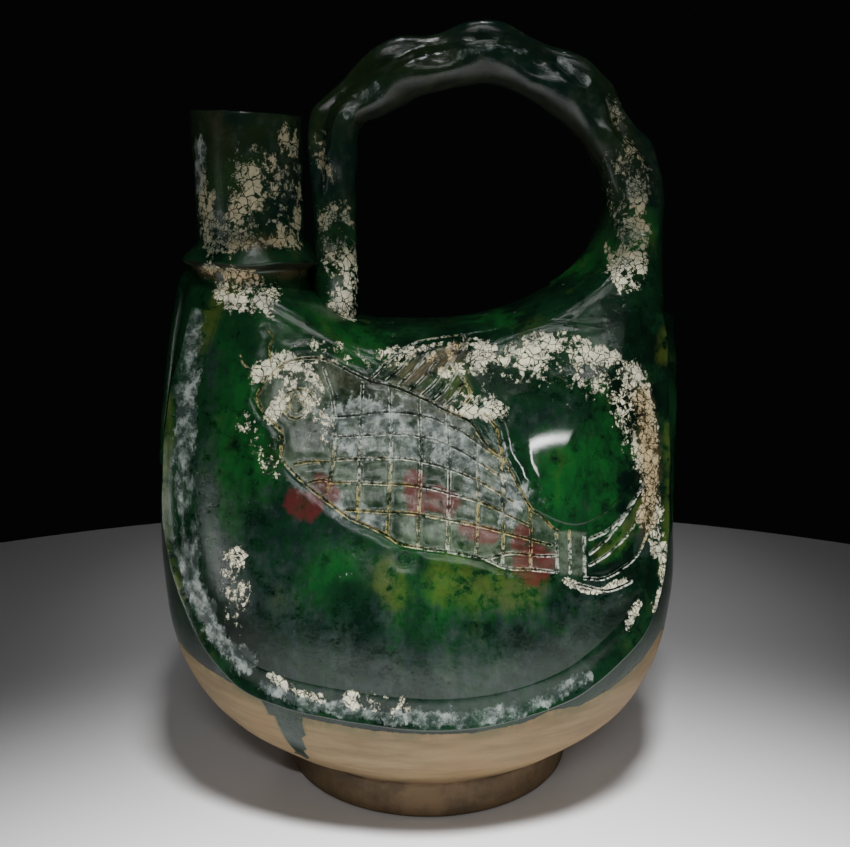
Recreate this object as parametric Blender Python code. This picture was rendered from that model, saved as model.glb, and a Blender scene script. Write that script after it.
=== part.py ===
"""Pouch-shaped flask of lead-glazed earthenware, about 30 cm tall.

The real pot is thrown, pressed flat at the top like a filled leather bag, and finished with
parts luted on in wet clay: a short spout with a collar, a loop handle pinched along its crest,
seam strips round the two broad faces and down the two ends, and a low turned foot.
All of it is fired as one piece, so it is one hollow solid here, open at the spout. A fish is
incised on the front.

Metres, +Z up. The broad faces look along -Y and +Y, the spout is at -X. The origin is on the
ground, under the middle of the flask's greatest width.
"""

from math import cos, hypot, pi, radians, sin

import bmesh
import bpy
from mathutils import Vector
from mathutils.bvhtree import BVHTree

# Foot: a low turned ring, recessed underneath.
FOOT_RADIUS = 0.060
FOOT_HEIGHT = 0.014
FOOT_EDGE = 0.0016
FOOT_RING_WIDTH = 0.011
FOOT_RECESS = 0.005
FOOT_COLUMNS = 40

# Body: sizes of the clay pouch, measured from the foot's axis.
BODY_LEFT_WIDTH = 0.108
BODY_RIGHT_WIDTH = 0.1005
BODY_HALF_DEPTH = 0.080
BODY_HALF_WIDTH = (BODY_LEFT_WIDTH + BODY_RIGHT_WIDTH) / 2
SADDLE_HEIGHT = 0.1855
CROWN_HEIGHT = 0.012
WALL = 0.0055

# The pouch's level sections, from the foot's joint up to the crown: share of the height between
# them, shares of the left and right reach, share of the half depth, and squareness (2 is round).
SECTIONS = (
    (0.000, 0.550, 0.590, 0.735, 2.00),
    (0.040, 0.705, 0.725, 0.815, 2.00),
    (0.100, 0.840, 0.850, 0.910, 2.02),
    (0.200, 0.938, 0.940, 0.978, 2.08),
    (0.320, 0.988, 0.990, 1.000, 2.20),
    (0.475, 1.000, 1.000, 0.940, 2.45),
    (0.660, 0.990, 0.968, 0.790, 2.80),
    (0.850, 0.940, 0.922, 0.590, 3.00),
    (1.000, 0.885, 0.905, 0.400, 2.90),
)
CROWN_START = 0.86
BODY_COLUMNS = 48
BODY_ROWS = 20
CAVITY_COLUMNS = 24
CAVITY_ROWS = 10

# Shoulders: how far the crown rises above the saddle, under the spout and into the handle.
SPOUT_SHOULDER_HEIGHT = 0.021
HANDLE_SHOULDER_HEIGHT = 0.050
HANDLE_SHOULDER_CURVE = 2.1
SADDLE_LEFT_WIDTH = 0.018
CROWN_UNDER_SPOUT = SADDLE_HEIGHT + SPOUT_SHOULDER_HEIGHT

# Spout: a short tube, leaning a little outwards, its lip cut slightly aslant. It is sunk into
# the shoulder and its bore reaches through the wall.
SPOUT_INSET_WIDTH = 0.0398
SPOUT_OFFSET_WIDTH = BODY_LEFT_WIDTH - SPOUT_INSET_WIDTH
SPOUT_LENGTH = 0.058
SPOUT_SUNK_DEPTH = 0.0165
SPOUT_BASE_HEIGHT = CROWN_UNDER_SPOUT - SPOUT_SUNK_DEPTH
SPOUT_RIM_HEIGHT = CROWN_UNDER_SPOUT + SPOUT_LENGTH
SPOUT_RIM_RADIUS = 0.0216
SPOUT_BASE_RADIUS = 0.0212
SPOUT_WALL = 0.0045
BORE_SUNK_DEPTH = SPOUT_SUNK_DEPTH + 2 * WALL
SPOUT_LEAN = 0.018
LIP_SLOPE = 0.044
LIP_EDGE_RADIUS = 0.0014
SPOUT_COLUMNS = 32

# Collar: a wedge-shaped strip laid round the foot of the spout, from a little under the crown.
COLLAR_TOP_HEIGHT = CROWN_UNDER_SPOUT + 0.0100
COLLAR_EDGE_HEIGHT = CROWN_UNDER_SPOUT + 0.0032
COLLAR_LIP_HEIGHT = CROWN_UNDER_SPOUT + 0.0018
COLLAR_UNDERSIDE_HEIGHT = CROWN_UNDER_SPOUT - 0.0002
COLLAR_EDGE_WIDTH = 0.0060
COLLAR_NECK_WIDTH = 0.0016

# Handle: a strap bent over an opening, between an inner and an outer rail. Its left leg stands
# close beside the spout, and its right side comes down onto the end of the pouch.
STRAP_LEFT_WIDTH = 0.0178
STRAP_RIGHT_WIDTH = 0.0222
STRAP_TOP_WIDTH = 0.0212
LEG_GAP_WIDTH = 0.0014
HANDLE_INSET_WIDTH = 0.0083
OPENING_LEFT = SPOUT_RIM_RADIUS - SPOUT_OFFSET_WIDTH + LEG_GAP_WIDTH + STRAP_LEFT_WIDTH
OPENING_RIGHT = BODY_RIGHT_WIDTH - HANDLE_INSET_WIDTH - STRAP_RIGHT_WIDTH
OPENING_MIDDLE = (OPENING_LEFT + OPENING_RIGHT) / 2
OPENING_HALF_WIDTH = (OPENING_RIGHT - OPENING_LEFT) / 2
OPENING_HALF_HEIGHT = 0.0447
OPENING_HEIGHT = SADDLE_HEIGHT + OPENING_HALF_HEIGHT
LEG_SUNK_DEPTH = 0.0015
RIGHT_FOOT_TURN = radians(-50)
STRAP_HALF_DEPTH = 0.0112
CREST_HALF_DEPTH = 0.0045
LEG_HALF_DEPTH = 0.0085
FOOT_FLARE_DEPTH = 0.006
FOOT_TAPER = 0.75
LEFT_FOOT_END = 0.10
RIGHT_FOOT_START = 0.72
RIGHT_FOOT_FULL = 0.92
RIGHT_FOOT_TIP = 0.88
PINCH_LEAD = 0.03
PINCH_FADE = 0.10
PINCH_END = 0.86
PINCH_TURN = radians(19)
PINCH_DEPTH = 0.0019
PINCH_SWAY_DEPTH = 0.0017
STRAP_SQUARENESS = 2.5
# The rails over the opening: turn in degrees from +X, and the shares of an ellipse about the
# opening's middle at which the inner and the outer rail run.
RAILS = (
    (180, 1.000, 1.000),
    (165, 1.035, 1.058),
    (152, 1.125, 1.118),
    (145, 1.160, 1.105),
    (137, 1.090, 1.080),
    (124, 1.048, 1.074),
    (108, 1.014, 1.015),
    (89, 1.012, 1.030),
    (70, 0.978, 0.972),
    (52, 0.938, 0.990),
    (32, 0.947, 0.948),
    (16, 0.962, 0.988),
    (0, 0.980, 1.000),
    (-20, 0.935, 1.000),
    (-50, 0.851, 1.000),
)
STRAP_COLUMNS = 14
STRAP_ROWS = 54

# Seams: strips round the broad faces, with a steep outer edge and a hollowed inner slope.
SEAM_LEFT_INSET_WIDTH = 0.0096
SEAM_RIGHT_INSET_WIDTH = 0.0115
SEAM_LEFT = SEAM_LEFT_INSET_WIDTH - BODY_LEFT_WIDTH
SEAM_RIGHT = BODY_RIGHT_WIDTH - SEAM_RIGHT_INSET_WIDTH
SEAM_MIDDLE = (SEAM_LEFT + SEAM_RIGHT) / 2
SEAM_HALF_WIDTH = (SEAM_RIGHT - SEAM_LEFT) / 2
SEAM_TURN_HEIGHT = 0.66 * SADDLE_HEIGHT
SEAM_DROP_HEIGHT = 0.385 * SADDLE_HEIGHT
SEAM_TOP_HEIGHT = 1.06 * SADDLE_HEIGHT
SEAM_SQUARENESS = 2.8
SEAM_LEFT_LEAN_WIDTH = 0.0115
SEAM_RIGHT_LEAN_WIDTH = 0.0030
SEAM_WIDTH = 0.0100
SEAM_DEPTH = 0.0034
SEAM_ROWS = 38

# End seams: rounded strips down the middle of the two narrow ends.
END_SEAM_WIDTH = 0.0105
END_SEAM_LEFT_DEPTH = 0.0042
END_SEAM_RIGHT_DEPTH = 0.0062
END_SEAM_LEFT_HEIGHTS = (1.11 * SADDLE_HEIGHT, 0.668 * SADDLE_HEIGHT)
END_SEAM_RIGHT_HEIGHTS = (1.019 * SADDLE_HEIGHT, 0.388 * SADDLE_HEIGHT)
END_SEAM_FADE_START = 0.35
END_SEAM_FADED = 0.25
END_SEAM_ROWS = 12

# Incised lines: width at the surface, depth, and the length of one straight stretch.
GROOVE_WIDTH = 0.0012
GROOVE_DEPTH = 0.0008
GROOVE_LENGTH = 0.010
GROOVE_CLEARANCE_DEPTH = 0.0010

# Points nearer than this after a cut are one point.
MERGE_WIDTH = 0.00002

# Fish: places on the front face, as shares of the body's half width and of the saddle's height;
# bows, radii and pitches are shares of the half width.
MOUTH = (-0.601, 0.875)
NAPE = (-0.293, 0.925)
BACK_END = (0.240, 0.773)
BELLY_START = (-0.508, 0.768)
BELLY_END = (0.439, 0.558)
TAIL_TOP = (0.434, 0.634)
HIP = (0.199, 0.842)
HEAD_BOW = 0.077
BACK_BOW = 0.040
BELLY_BOW = -0.094
FLANK_BOW = -0.029
CHIN_BOW = 0.017
LINE_GAP = 0.0065
EYE = (-0.456, 0.861)
EYE_SHARE = 0.0585
PUPIL_SHARE = 0.027
SCALE_START = -0.429
SCALE_TOP = 0.868
SCALE_PITCH = 0.0988
SCALE_COLUMNS = 8
SCALE_ROWS = 4
SCALE_ROW_START = (-0.451, 0.833)
SCALE_ROW_END = (0.251, 0.764)
SCALE_ROW_PITCH = (0.0115, -0.0388)
SCALE_BOW = 0.029
FIN_TIP = (0.133, 0.983)
FIN_START = (-0.198, 0.909)
FIN_BOW = 0.040
FIN_BACK_BOW = -0.029
FIN_RAYS = 5
FIN_RAY_STARTS = (-0.160, 0.087)
FIN_RAY_TIPS = ((-0.058, 0.960), (0.114, 0.884))
TAIL_BARS = 3
TAIL_BAR_START = 0.444
TAIL_BAR_PITCH = 0.050
TAIL_ROOTS = ((0.554, 0.628), (0.554, 0.537))
TAIL_TIPS = ((0.770, 0.733), (0.742, 0.513))
TAIL_BOW = -0.040
TAIL_LINES = 4
PANEL_TOP = ((0.012, 0.978), (0.618, 0.997))
PANEL_TOP_BOW = 0.012
PANEL_BOTTOM = ((0.368, 0.670), (0.738, 0.718))
PANEL_BOTTOM_BOW = -0.091
BELLY_FIN = ((0.199, 0.590), (0.433, 0.589))
BELLY_FIN_BOW = 0.017
UPPER_BARBEL = ((-0.574, 1.002), (-0.560, 0.968))
LOWER_BARBEL = ((-0.664, 0.954), (-0.577, 0.904))
BARBEL_BOW = 0.016
CHIN_CURL = (-0.553, 0.743)
BELLY_CURL = (-0.078, 0.585)
CURL_SHARE = 0.028


def clear_scene():
    for thing in list(bpy.data.objects):
        bpy.data.objects.remove(thing)


def ease(t):
    t = min(max(t, 0.0), 1.0)
    return t * t * (3 - 2 * t)


def mix(a, b, t):
    return a + (b - a) * t


def between(stations, share):
    """The row of values at a share, on a smooth curve through the stations."""
    last = len(stations) - 1
    index = 0
    while index < last - 1 and share > stations[index + 1][0]:
        index += 1
    start, end = stations[index], stations[index + 1]
    before, after = stations[max(index - 1, 0)], stations[min(index + 2, last)]
    span = end[0] - start[0]
    t = min(max((share - start[0]) / span, 0.0), 1.0)
    row = []
    for column in range(1, len(start)):
        slope_in = (end[column] - before[column]) / (end[0] - before[0])
        slope_out = (after[column] - start[column]) / (after[0] - start[0])
        row.append(
            (2 * t**3 - 3 * t**2 + 1) * start[column]
            + (t**3 - 2 * t**2 + t) * span * slope_in
            + (3 * t**2 - 2 * t**3) * end[column]
            + (t**3 - t**2) * span * slope_out
        )
    return row


def rounded_square(turn, half_width, half_height, squareness):
    """The point at an angle on a curve between an ellipse (2) and a rectangle (large)."""
    c, s = cos(turn), sin(turn)
    size = (abs(c) / half_width) ** squareness + (abs(s) / half_height) ** squareness
    radius = size ** (-1 / squareness)
    return radius * c, radius * s


def thing(name, mesh):
    """An object in the scene from a bmesh."""
    data = bpy.data.meshes.new(name)
    mesh.to_mesh(data)
    mesh.free()
    made = bpy.data.objects.new(name, data)
    bpy.context.scene.collection.objects.link(made)
    return made


def wrapped_grid(columns, rows, place):
    """A grid bent into a closed tube or shell: place(u, v) gives each vertex, u, v in 0 to 1."""
    mesh = bmesh.new()
    bmesh.ops.create_grid(mesh, x_segments=columns, y_segments=rows, size=0.5)
    for vertex in mesh.verts:
        vertex.co = place(round(vertex.co.x + 0.5, 9), round(vertex.co.y + 0.5, 9))
    bmesh.ops.remove_doubles(mesh, verts=mesh.verts, dist=1e-5)
    open_edges = [edge for edge in mesh.edges if edge.is_boundary]
    bmesh.ops.holes_fill(mesh, edges=open_edges, sides=0)
    bmesh.ops.recalc_face_normals(mesh, faces=mesh.faces)
    return mesh


def lathe(name, columns, profile, shift):
    """A turned solid from (radius, height) points; shift(point) sets it in its place."""
    steps = len(profile) - 1

    def place(u, v):
        radius, height = profile[round(v * steps)]
        turn = (u % 1.0 + 0.5 / columns) * 2 * pi
        return shift(Vector((radius * cos(turn), radius * sin(turn), height)))

    return thing(name, wrapped_grid(columns, steps, place))


def shoulder_rise(x):
    """How far the crown stands above the saddle at a distance x along the pouch."""
    if x < 0:
        span = SPOUT_OFFSET_WIDTH - SADDLE_LEFT_WIDTH
        return SPOUT_SHOULDER_HEIGHT * ease((-x - SADDLE_LEFT_WIDTH) / span)
    share = min(x / (SECTIONS[-1][2] * BODY_RIGHT_WIDTH), 1.0)
    return HANDLE_SHOULDER_HEIGHT * share**HANDLE_SHOULDER_CURVE


def level(share, wall):
    """Left reach, right reach, half depth, squareness, height and lift of one level ring."""
    crown_base = SADDLE_HEIGHT - CROWN_HEIGHT
    crown = CROWN_HEIGHT - wall
    along = min(share / CROWN_START, 1.0)
    left, right, depth, square = between(SECTIONS, along)
    left = left * BODY_LEFT_WIDTH - wall
    right = right * BODY_RIGHT_WIDTH - wall
    depth = depth * BODY_HALF_DEPTH - wall
    height = mix(FOOT_HEIGHT + wall, crown_base, along)
    if share > CROWN_START:
        turn = (share - CROWN_START) / (1 - CROWN_START) * pi / 2
        height += crown * sin(turn)
        depth *= cos(turn)
        left -= crown * (1 - cos(turn))
        right -= crown * (1 - cos(turn))
    lift = ease((along - 0.5) / 0.5)
    return left, right, depth, square, height, lift


def ring_corner(reach, depth, square, share):
    """A point on a quarter of a level ring, at a share of its length from the X end."""
    steps = 24
    depth = max(depth, 1e-6)
    points = [rounded_square(i / steps * pi / 2, reach, depth, square) for i in range(steps + 1)]
    lengths = [0.0]
    for a, b in zip(points, points[1:]):
        lengths.append(lengths[-1] + hypot(b[0] - a[0], b[1] - a[1]))
    want = share * lengths[-1]
    index = 0
    while index < steps - 1 and want > lengths[index + 1]:
        index += 1
    t = (want - lengths[index]) / (lengths[index + 1] - lengths[index])
    a, b = points[index], points[index + 1]
    return mix(a[0], b[0], t), mix(a[1], b[1], t)


def pouch_point(around, up, wall=0.0):
    """A point of the pouch: around is 0 to 1 from +X by way of +Y, up is 0 to 1 from the joint."""
    left, right, depth, square, height, lift = level(up, wall)
    quarter, share = divmod(around % 1.0 * 4, 1.0)
    quarter = int(quarter)
    if quarter in (1, 3):
        share = 1 - share
    x, y = ring_corner(left if quarter in (1, 2) else right, depth, square, share)
    if quarter in (1, 2):
        x = -x
    if quarter in (2, 3):
        y = -y
    return Vector((x, y, height + lift * shoulder_rise(x)))


def pouch():
    return thing("pouch", wrapped_grid(BODY_COLUMNS, BODY_ROWS, pouch_point))


def cavity():
    def place(u, v):
        return pouch_point(u, v, WALL)

    return thing("cavity", wrapped_grid(CAVITY_COLUMNS, CAVITY_ROWS, place))


def foot():
    ring_inside = FOOT_RADIUS - FOOT_RING_WIDTH
    profile = (
        (0.0, FOOT_RECESS),
        (ring_inside - FOOT_EDGE, FOOT_RECESS),
        (ring_inside, FOOT_EDGE),
        (ring_inside + FOOT_EDGE, 0.0),
        (FOOT_RADIUS - FOOT_EDGE, 0.0),
        (FOOT_RADIUS, FOOT_EDGE),
        (FOOT_RADIUS - FOOT_EDGE / 2, FOOT_HEIGHT),
        (FOOT_RADIUS - 2 * FOOT_EDGE, FOOT_HEIGHT + WALL / 2),
        (0.0, FOOT_HEIGHT + WALL / 2),
    )
    return lathe("foot", FOOT_COLUMNS, profile, lambda point: point)


def on_spout_axis(point):
    """Moves a point from the spout's own axis to its leaning place; the lip follows its slope."""
    above = point.z - SPOUT_BASE_HEIGHT
    share = max(above / (SPOUT_RIM_HEIGHT - SPOUT_BASE_HEIGHT), 0.0)
    dip = point.x * LIP_SLOPE * share**3
    return Vector((point.x - SPOUT_OFFSET_WIDTH - above * SPOUT_LEAN, point.y, point.z - dip))


def spout():
    """The spout's outside with its collar."""
    neck = SPOUT_BASE_RADIUS + COLLAR_NECK_WIDTH
    edge = LIP_EDGE_RADIUS
    profile = (
        (0.0, SPOUT_BASE_HEIGHT),
        (neck, SPOUT_BASE_HEIGHT),
        (neck, COLLAR_UNDERSIDE_HEIGHT),
        (SPOUT_BASE_RADIUS + 0.9 * COLLAR_EDGE_WIDTH, COLLAR_LIP_HEIGHT),
        (SPOUT_BASE_RADIUS + COLLAR_EDGE_WIDTH, COLLAR_EDGE_HEIGHT),
        (SPOUT_BASE_RADIUS, COLLAR_TOP_HEIGHT),
        (SPOUT_BASE_RADIUS, mix(COLLAR_TOP_HEIGHT, SPOUT_RIM_HEIGHT, 0.5)),
        (SPOUT_RIM_RADIUS, SPOUT_RIM_HEIGHT - edge),
        (SPOUT_RIM_RADIUS - 0.3 * edge, SPOUT_RIM_HEIGHT - 0.3 * edge),
        (SPOUT_RIM_RADIUS - edge, SPOUT_RIM_HEIGHT),
        (0.0, SPOUT_RIM_HEIGHT),
    )
    return lathe("spout", SPOUT_COLUMNS, profile, on_spout_axis)


def bore():
    """The way from the cavity out through the spout, opening towards the lip."""
    radius = SPOUT_BASE_RADIUS - SPOUT_WALL
    bottom = CROWN_UNDER_SPOUT - BORE_SUNK_DEPTH
    edge = LIP_EDGE_RADIUS
    profile = (
        (0.0, bottom),
        (radius, bottom),
        (radius, SPOUT_RIM_HEIGHT - edge),
        (radius + 0.3 * edge, SPOUT_RIM_HEIGHT - 0.3 * edge),
        (radius + edge, SPOUT_RIM_HEIGHT),
        (radius + edge, SPOUT_RIM_HEIGHT + 2 * SPOUT_WALL),
        (0.0, SPOUT_RIM_HEIGHT + 2 * SPOUT_WALL),
    )
    return lathe("bore", SPOUT_COLUMNS, profile, on_spout_axis)


def strap_lengths():
    """The lengths of the strap's upright left leg and of its arch, at the opening's edge."""
    leg = OPENING_HALF_HEIGHT + LEG_SUNK_DEPTH
    arch = (OPENING_HALF_WIDTH + OPENING_HALF_HEIGHT) / 2 * (pi - RIGHT_FOOT_TURN)
    return leg, arch


def strap_rails(share):
    """Inner rail point, outer rail point and turn of the strap, from left foot to right foot."""
    leg, arch = strap_lengths()
    length = share * (leg + arch)
    if length < leg:
        height = OPENING_HEIGHT - leg + length
        return (OPENING_LEFT, height), (OPENING_LEFT - STRAP_LEFT_WIDTH, height), pi
    turn = mix(pi, RIGHT_FOOT_TURN, (length - leg) / arch)
    inner_share, outer_share = between([(-radians(a), b, c) for a, b, c in RAILS], -turn)
    x, z = rounded_square(turn, OPENING_HALF_WIDTH, OPENING_HALF_HEIGHT, 2)
    inner = (OPENING_MIDDLE + x * inner_share, OPENING_HEIGHT + z * inner_share)
    outer_width = OPENING_HALF_WIDTH + (STRAP_LEFT_WIDTH if turn > pi / 2 else STRAP_RIGHT_WIDTH)
    outer_height = OPENING_HALF_HEIGHT + STRAP_TOP_WIDTH
    x, z = rounded_square(turn, outer_width, outer_height, 2)
    outer = (OPENING_MIDDLE + x * outer_share, OPENING_HEIGHT + z * outer_share)
    if turn < 0:
        outer = (OPENING_MIDDLE + outer_width, OPENING_HEIGHT + outer_width * sin(turn) / cos(turn))
    return inner, outer, turn


def handle():
    leg, arch = strap_lengths()
    arch_start = leg / (leg + arch)

    def place(u, v):
        inner, outer, turn = strap_rails(v)
        across, up = rounded_square(u % 1.0 * 2 * pi, 1.0, 1.0, STRAP_SQUARENESS)
        reach = (up + 1) / 2
        pinched = ease((v - arch_start + PINCH_LEAD) / PINCH_FADE)
        pinched *= ease((PINCH_END - v) / PINCH_FADE)
        wave = pinched * cos((turn - pi / 2) / PINCH_TURN * 2 * pi)
        reach *= 1 + wave * PINCH_DEPTH / STRAP_TOP_WIDTH * ease(reach)
        to_foot = ease((v - RIGHT_FOOT_START) / (RIGHT_FOOT_FULL - RIGHT_FOOT_START))
        inside = mix(LEG_HALF_DEPTH, STRAP_HALF_DEPTH, ease(v / arch_start - 0.5))
        crest = mix(LEG_HALF_DEPTH, CREST_HALF_DEPTH, pinched)
        crest = mix(crest, STRAP_HALF_DEPTH, to_foot)
        half_depth = mix(inside, crest, ease(reach))
        half_depth += FOOT_FLARE_DEPTH * (ease(1 - v / LEFT_FOOT_END) + to_foot)
        half_depth *= 1 - FOOT_TAPER * ease((v - RIGHT_FOOT_TIP) / (1 - RIGHT_FOOT_TIP))
        sway = PINCH_SWAY_DEPTH * sin((turn - pi / 2) / PINCH_TURN * pi)
        y = across * half_depth + sway * pinched * ease(reach)
        return Vector((mix(inner[0], outer[0], reach), y, mix(inner[1], outer[1], reach)))

    return thing("handle", wrapped_grid(STRAP_COLUMNS, STRAP_ROWS, place))


def surface(tree, start, direction):
    """The point and outward normal where a ray meets the pouch."""
    point, normal, _, _ = tree.ray_cast(Vector(start), Vector(direction))
    return point, normal


def swept_strip(name, places, section):
    """A closed strip along places (point, normal, inward) with a section of (in, out) points."""
    rows = len(places) - 1
    columns = len(section)

    def place(u, v):
        point, normal, inward, fade = places[round(v * rows)]
        along, out = section[round(u * columns) % columns]
        return point + inward * along + normal * (out * fade)

    return thing(name, wrapped_grid(columns, rows, place))


def seam_line(share):
    """A point (x, z) on the outer edge of a face seam, from the left shoulder to the right."""
    straight = SEAM_TOP_HEIGHT - SEAM_TURN_HEIGHT
    curve = SEAM_HALF_WIDTH * 2 + SEAM_DROP_HEIGHT
    length = share * (2 * straight + curve)
    if straight <= length <= straight + curve:
        turn = pi + (length - straight) / curve * pi
        x, z = rounded_square(turn, SEAM_HALF_WIDTH, SEAM_DROP_HEIGHT, SEAM_SQUARENESS)
        return SEAM_MIDDLE + x, SEAM_TURN_HEIGHT + z
    if length < straight:
        up = 1 - length / straight
        x = SEAM_LEFT + SEAM_LEFT_LEAN_WIDTH * up**1.5
    else:
        up = (length - straight - curve) / straight
        x = SEAM_RIGHT - SEAM_RIGHT_LEAN_WIDTH * up
    return x, mix(SEAM_TURN_HEIGHT, SEAM_TOP_HEIGHT, up)


def face_seam(tree, side):
    places = []
    for row in range(SEAM_ROWS + 1):
        share = row / SEAM_ROWS
        x, z = seam_line(share)
        point, normal = surface(tree, (x, side, z), (0, -side, 0))
        x_next, z_next = seam_line(min(share + 0.01, 1.0))
        x_last, z_last = seam_line(max(share - 0.01, 0.0))
        along = Vector((x_next - x_last, 0, z_next - z_last)).normalized()
        inward = Vector((-along.z, 0, along.x))
        inward = (inward - normal * inward.dot(normal)).normalized()
        places.append((point, normal, inward, 1.0))
    section = (
        (-0.12 * SEAM_WIDTH, -0.8 * SEAM_DEPTH),
        (0.0, 0.92 * SEAM_DEPTH),
        (0.11 * SEAM_WIDTH, SEAM_DEPTH),
        (0.48 * SEAM_WIDTH, 0.36 * SEAM_DEPTH),
        (0.96 * SEAM_WIDTH, 0.02 * SEAM_DEPTH),
        (1.08 * SEAM_WIDTH, -0.5 * SEAM_DEPTH),
    )
    return swept_strip("face_seam", places, section)


def end_seam(tree, side, heights, depth):
    places = []
    off_seam = END_SEAM_WIDTH / 40
    for row in range(END_SEAM_ROWS + 1):
        share = row / END_SEAM_ROWS
        height = mix(heights[0], heights[1], share)
        point, normal = surface(tree, (side, off_seam, height), (-side, 0, 0))
        normal = Vector((normal.x, 0, normal.z)).normalized()
        point.y = 0.0
        faded = ease((share - END_SEAM_FADE_START) / (1 - END_SEAM_FADE_START))
        fade = mix(1.0, END_SEAM_FADED, faded) if side > 0 else 1.0
        places.append((point, normal, Vector((0, 1, 0)), fade))
    half = END_SEAM_WIDTH / 2
    section = (
        (-1.05 * half, -0.5 * depth),
        (-0.80 * half, 0.55 * depth),
        (-0.35 * half, 0.94 * depth),
        (0.35 * half, 0.94 * depth),
        (0.80 * half, 0.55 * depth),
        (1.05 * half, -0.5 * depth),
    )
    return swept_strip("end_seam", places, section)


def on_face(place):
    """A place on the front face, given in shares, as (x, z)."""
    return Vector((place[0] * BODY_HALF_WIDTH, place[1] * SADDLE_HEIGHT))


def bowed(start, end, bow=0.0):
    """Points on a bowed line between two places; bow is how far its middle stands off."""
    start, end = on_face(start), on_face(end)
    span = end - start
    off = Vector((-span.y, span.x)).normalized() * (bow * BODY_HALF_WIDTH)
    steps = max(round(span.length / GROOVE_LENGTH), 2)
    shares = [i / steps for i in range(steps + 1)]
    return [start + span * t + off * (4 * t * (1 - t)) for t in shares]


def circle(centre, radius):
    radius *= BODY_HALF_WIDTH
    steps = max(round(2 * pi * radius / GROOVE_LENGTH * 2), 8)
    turns = [i / steps * 2 * pi for i in range(steps + 1)]
    return [on_face(centre) + Vector((cos(turn), sin(turn))) * radius for turn in turns]


def height_on(line, x):
    """The share of the saddle's height where a line passes a place along X."""
    x *= BODY_HALF_WIDTH
    for a, b in zip(line, line[1:]):
        if a.x <= x <= b.x:
            return mix(a.y, b.y, (x - a.x) / (b.x - a.x)) / SADDLE_HEIGHT
    return line[-1].y / SADDLE_HEIGHT


def scale_lines(head, back, flank, belly):
    """The scales: bowed rows along the flank, and a bar down from the back to the belly each."""
    lines = []
    for row in range(SCALE_ROWS):
        start = [a + row * b for a, b in zip(SCALE_ROW_START, SCALE_ROW_PITCH)]
        end = [a + row * b for a, b in zip(SCALE_ROW_END, SCALE_ROW_PITCH)]
        lines.append(bowed(start, end, SCALE_BOW))
    for column in range(SCALE_COLUMNS):
        x = SCALE_START + column * SCALE_PITCH
        roof = back if x > NAPE[0] else head
        if x > BACK_END[0]:
            roof = flank
        top = min(height_on(roof, x) - LINE_GAP, SCALE_TOP)
        lines.append(bowed((x, top), (x, height_on(belly, x) + LINE_GAP)))
    return lines


def tail_lines():
    lines = []
    for bar in range(TAIL_BARS):
        x = TAIL_BAR_START + bar * TAIL_BAR_PITCH
        lines.append(bowed((x, TAIL_TOP[1]), (x, BELLY_END[1])))
    for line in range(TAIL_LINES):
        share = line / (TAIL_LINES - 1)
        root = [mix(a, b, share) for a, b in zip(*TAIL_ROOTS)]
        tip = [mix(a, b, share) for a, b in zip(*TAIL_TIPS)]
        lines.append(bowed(root, tip, TAIL_BOW))
    return lines


def fin_lines(back):
    lines = [bowed(FIN_START, FIN_TIP, FIN_BOW), bowed(FIN_TIP, BACK_END, FIN_BACK_BOW)]
    for ray in range(FIN_RAYS):
        share = (ray + 0.7) / FIN_RAYS
        x = mix(*FIN_RAY_STARTS, share)
        tip_x = mix(FIN_RAY_TIPS[0][0], FIN_RAY_TIPS[1][0], ease(share))
        tip_z = mix(FIN_RAY_TIPS[0][1], FIN_RAY_TIPS[1][1], share**2)
        lines.append(bowed((x, height_on(back, x) + LINE_GAP), (tip_x, tip_z)))
    return lines


def fish_lines():
    """The incised lines of the fish and of the panel behind it, as points (x, z)."""
    head = bowed(MOUTH, NAPE, HEAD_BOW)
    back = bowed(NAPE, BACK_END, BACK_BOW)
    belly = bowed(BELLY_START, BELLY_END, BELLY_BOW)
    flank = bowed(HIP, TAIL_TOP, FLANK_BOW)
    lines = [head, back, belly, flank, bowed(MOUTH, BELLY_START, CHIN_BOW)]
    lines += [circle(EYE, EYE_SHARE), circle(EYE, PUPIL_SHARE)]
    lines += scale_lines(head, back, flank, belly) + tail_lines() + fin_lines(back)
    lines += [bowed(*PANEL_TOP, PANEL_TOP_BOW), bowed(*PANEL_BOTTOM, PANEL_BOTTOM_BOW)]
    lines += [bowed(*UPPER_BARBEL, BARBEL_BOW), bowed(*LOWER_BARBEL, -BARBEL_BOW)]
    lines += [bowed(*BELLY_FIN, BELLY_FIN_BOW)]
    lines += [circle(CHIN_CURL, CURL_SHARE), circle(BELLY_CURL, CURL_SHARE)]
    return lines


def grooves(tree):
    """One cutter for all the incised lines: a V section drawn along each on the front face."""
    joined = bmesh.new()
    width = GROOVE_WIDTH / 2 * (GROOVE_CLEARANCE_DEPTH + GROOVE_DEPTH) / GROOVE_DEPTH
    top = GROOVE_CLEARANCE_DEPTH
    section = ((-width, top), (0.0, -GROOVE_DEPTH), (width, top))
    for line in fish_lines():
        places = []
        for index, spot in enumerate(line):
            point, normal = surface(tree, (spot.x, -1, spot.y), (0, 1, 0))
            ahead = line[min(index + 1, len(line) - 1)] - line[max(index - 1, 0)]
            sideways = Vector((-ahead.y, 0, ahead.x)).normalized()
            sideways = (sideways - normal * sideways.dot(normal)).normalized()
            places.append((point, normal, sideways, 1.0))
        cutter = swept_strip("groove", places, section)
        joined.from_mesh(cutter.data)
        bpy.data.objects.remove(cutter)
    return thing("grooves", joined)


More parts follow.
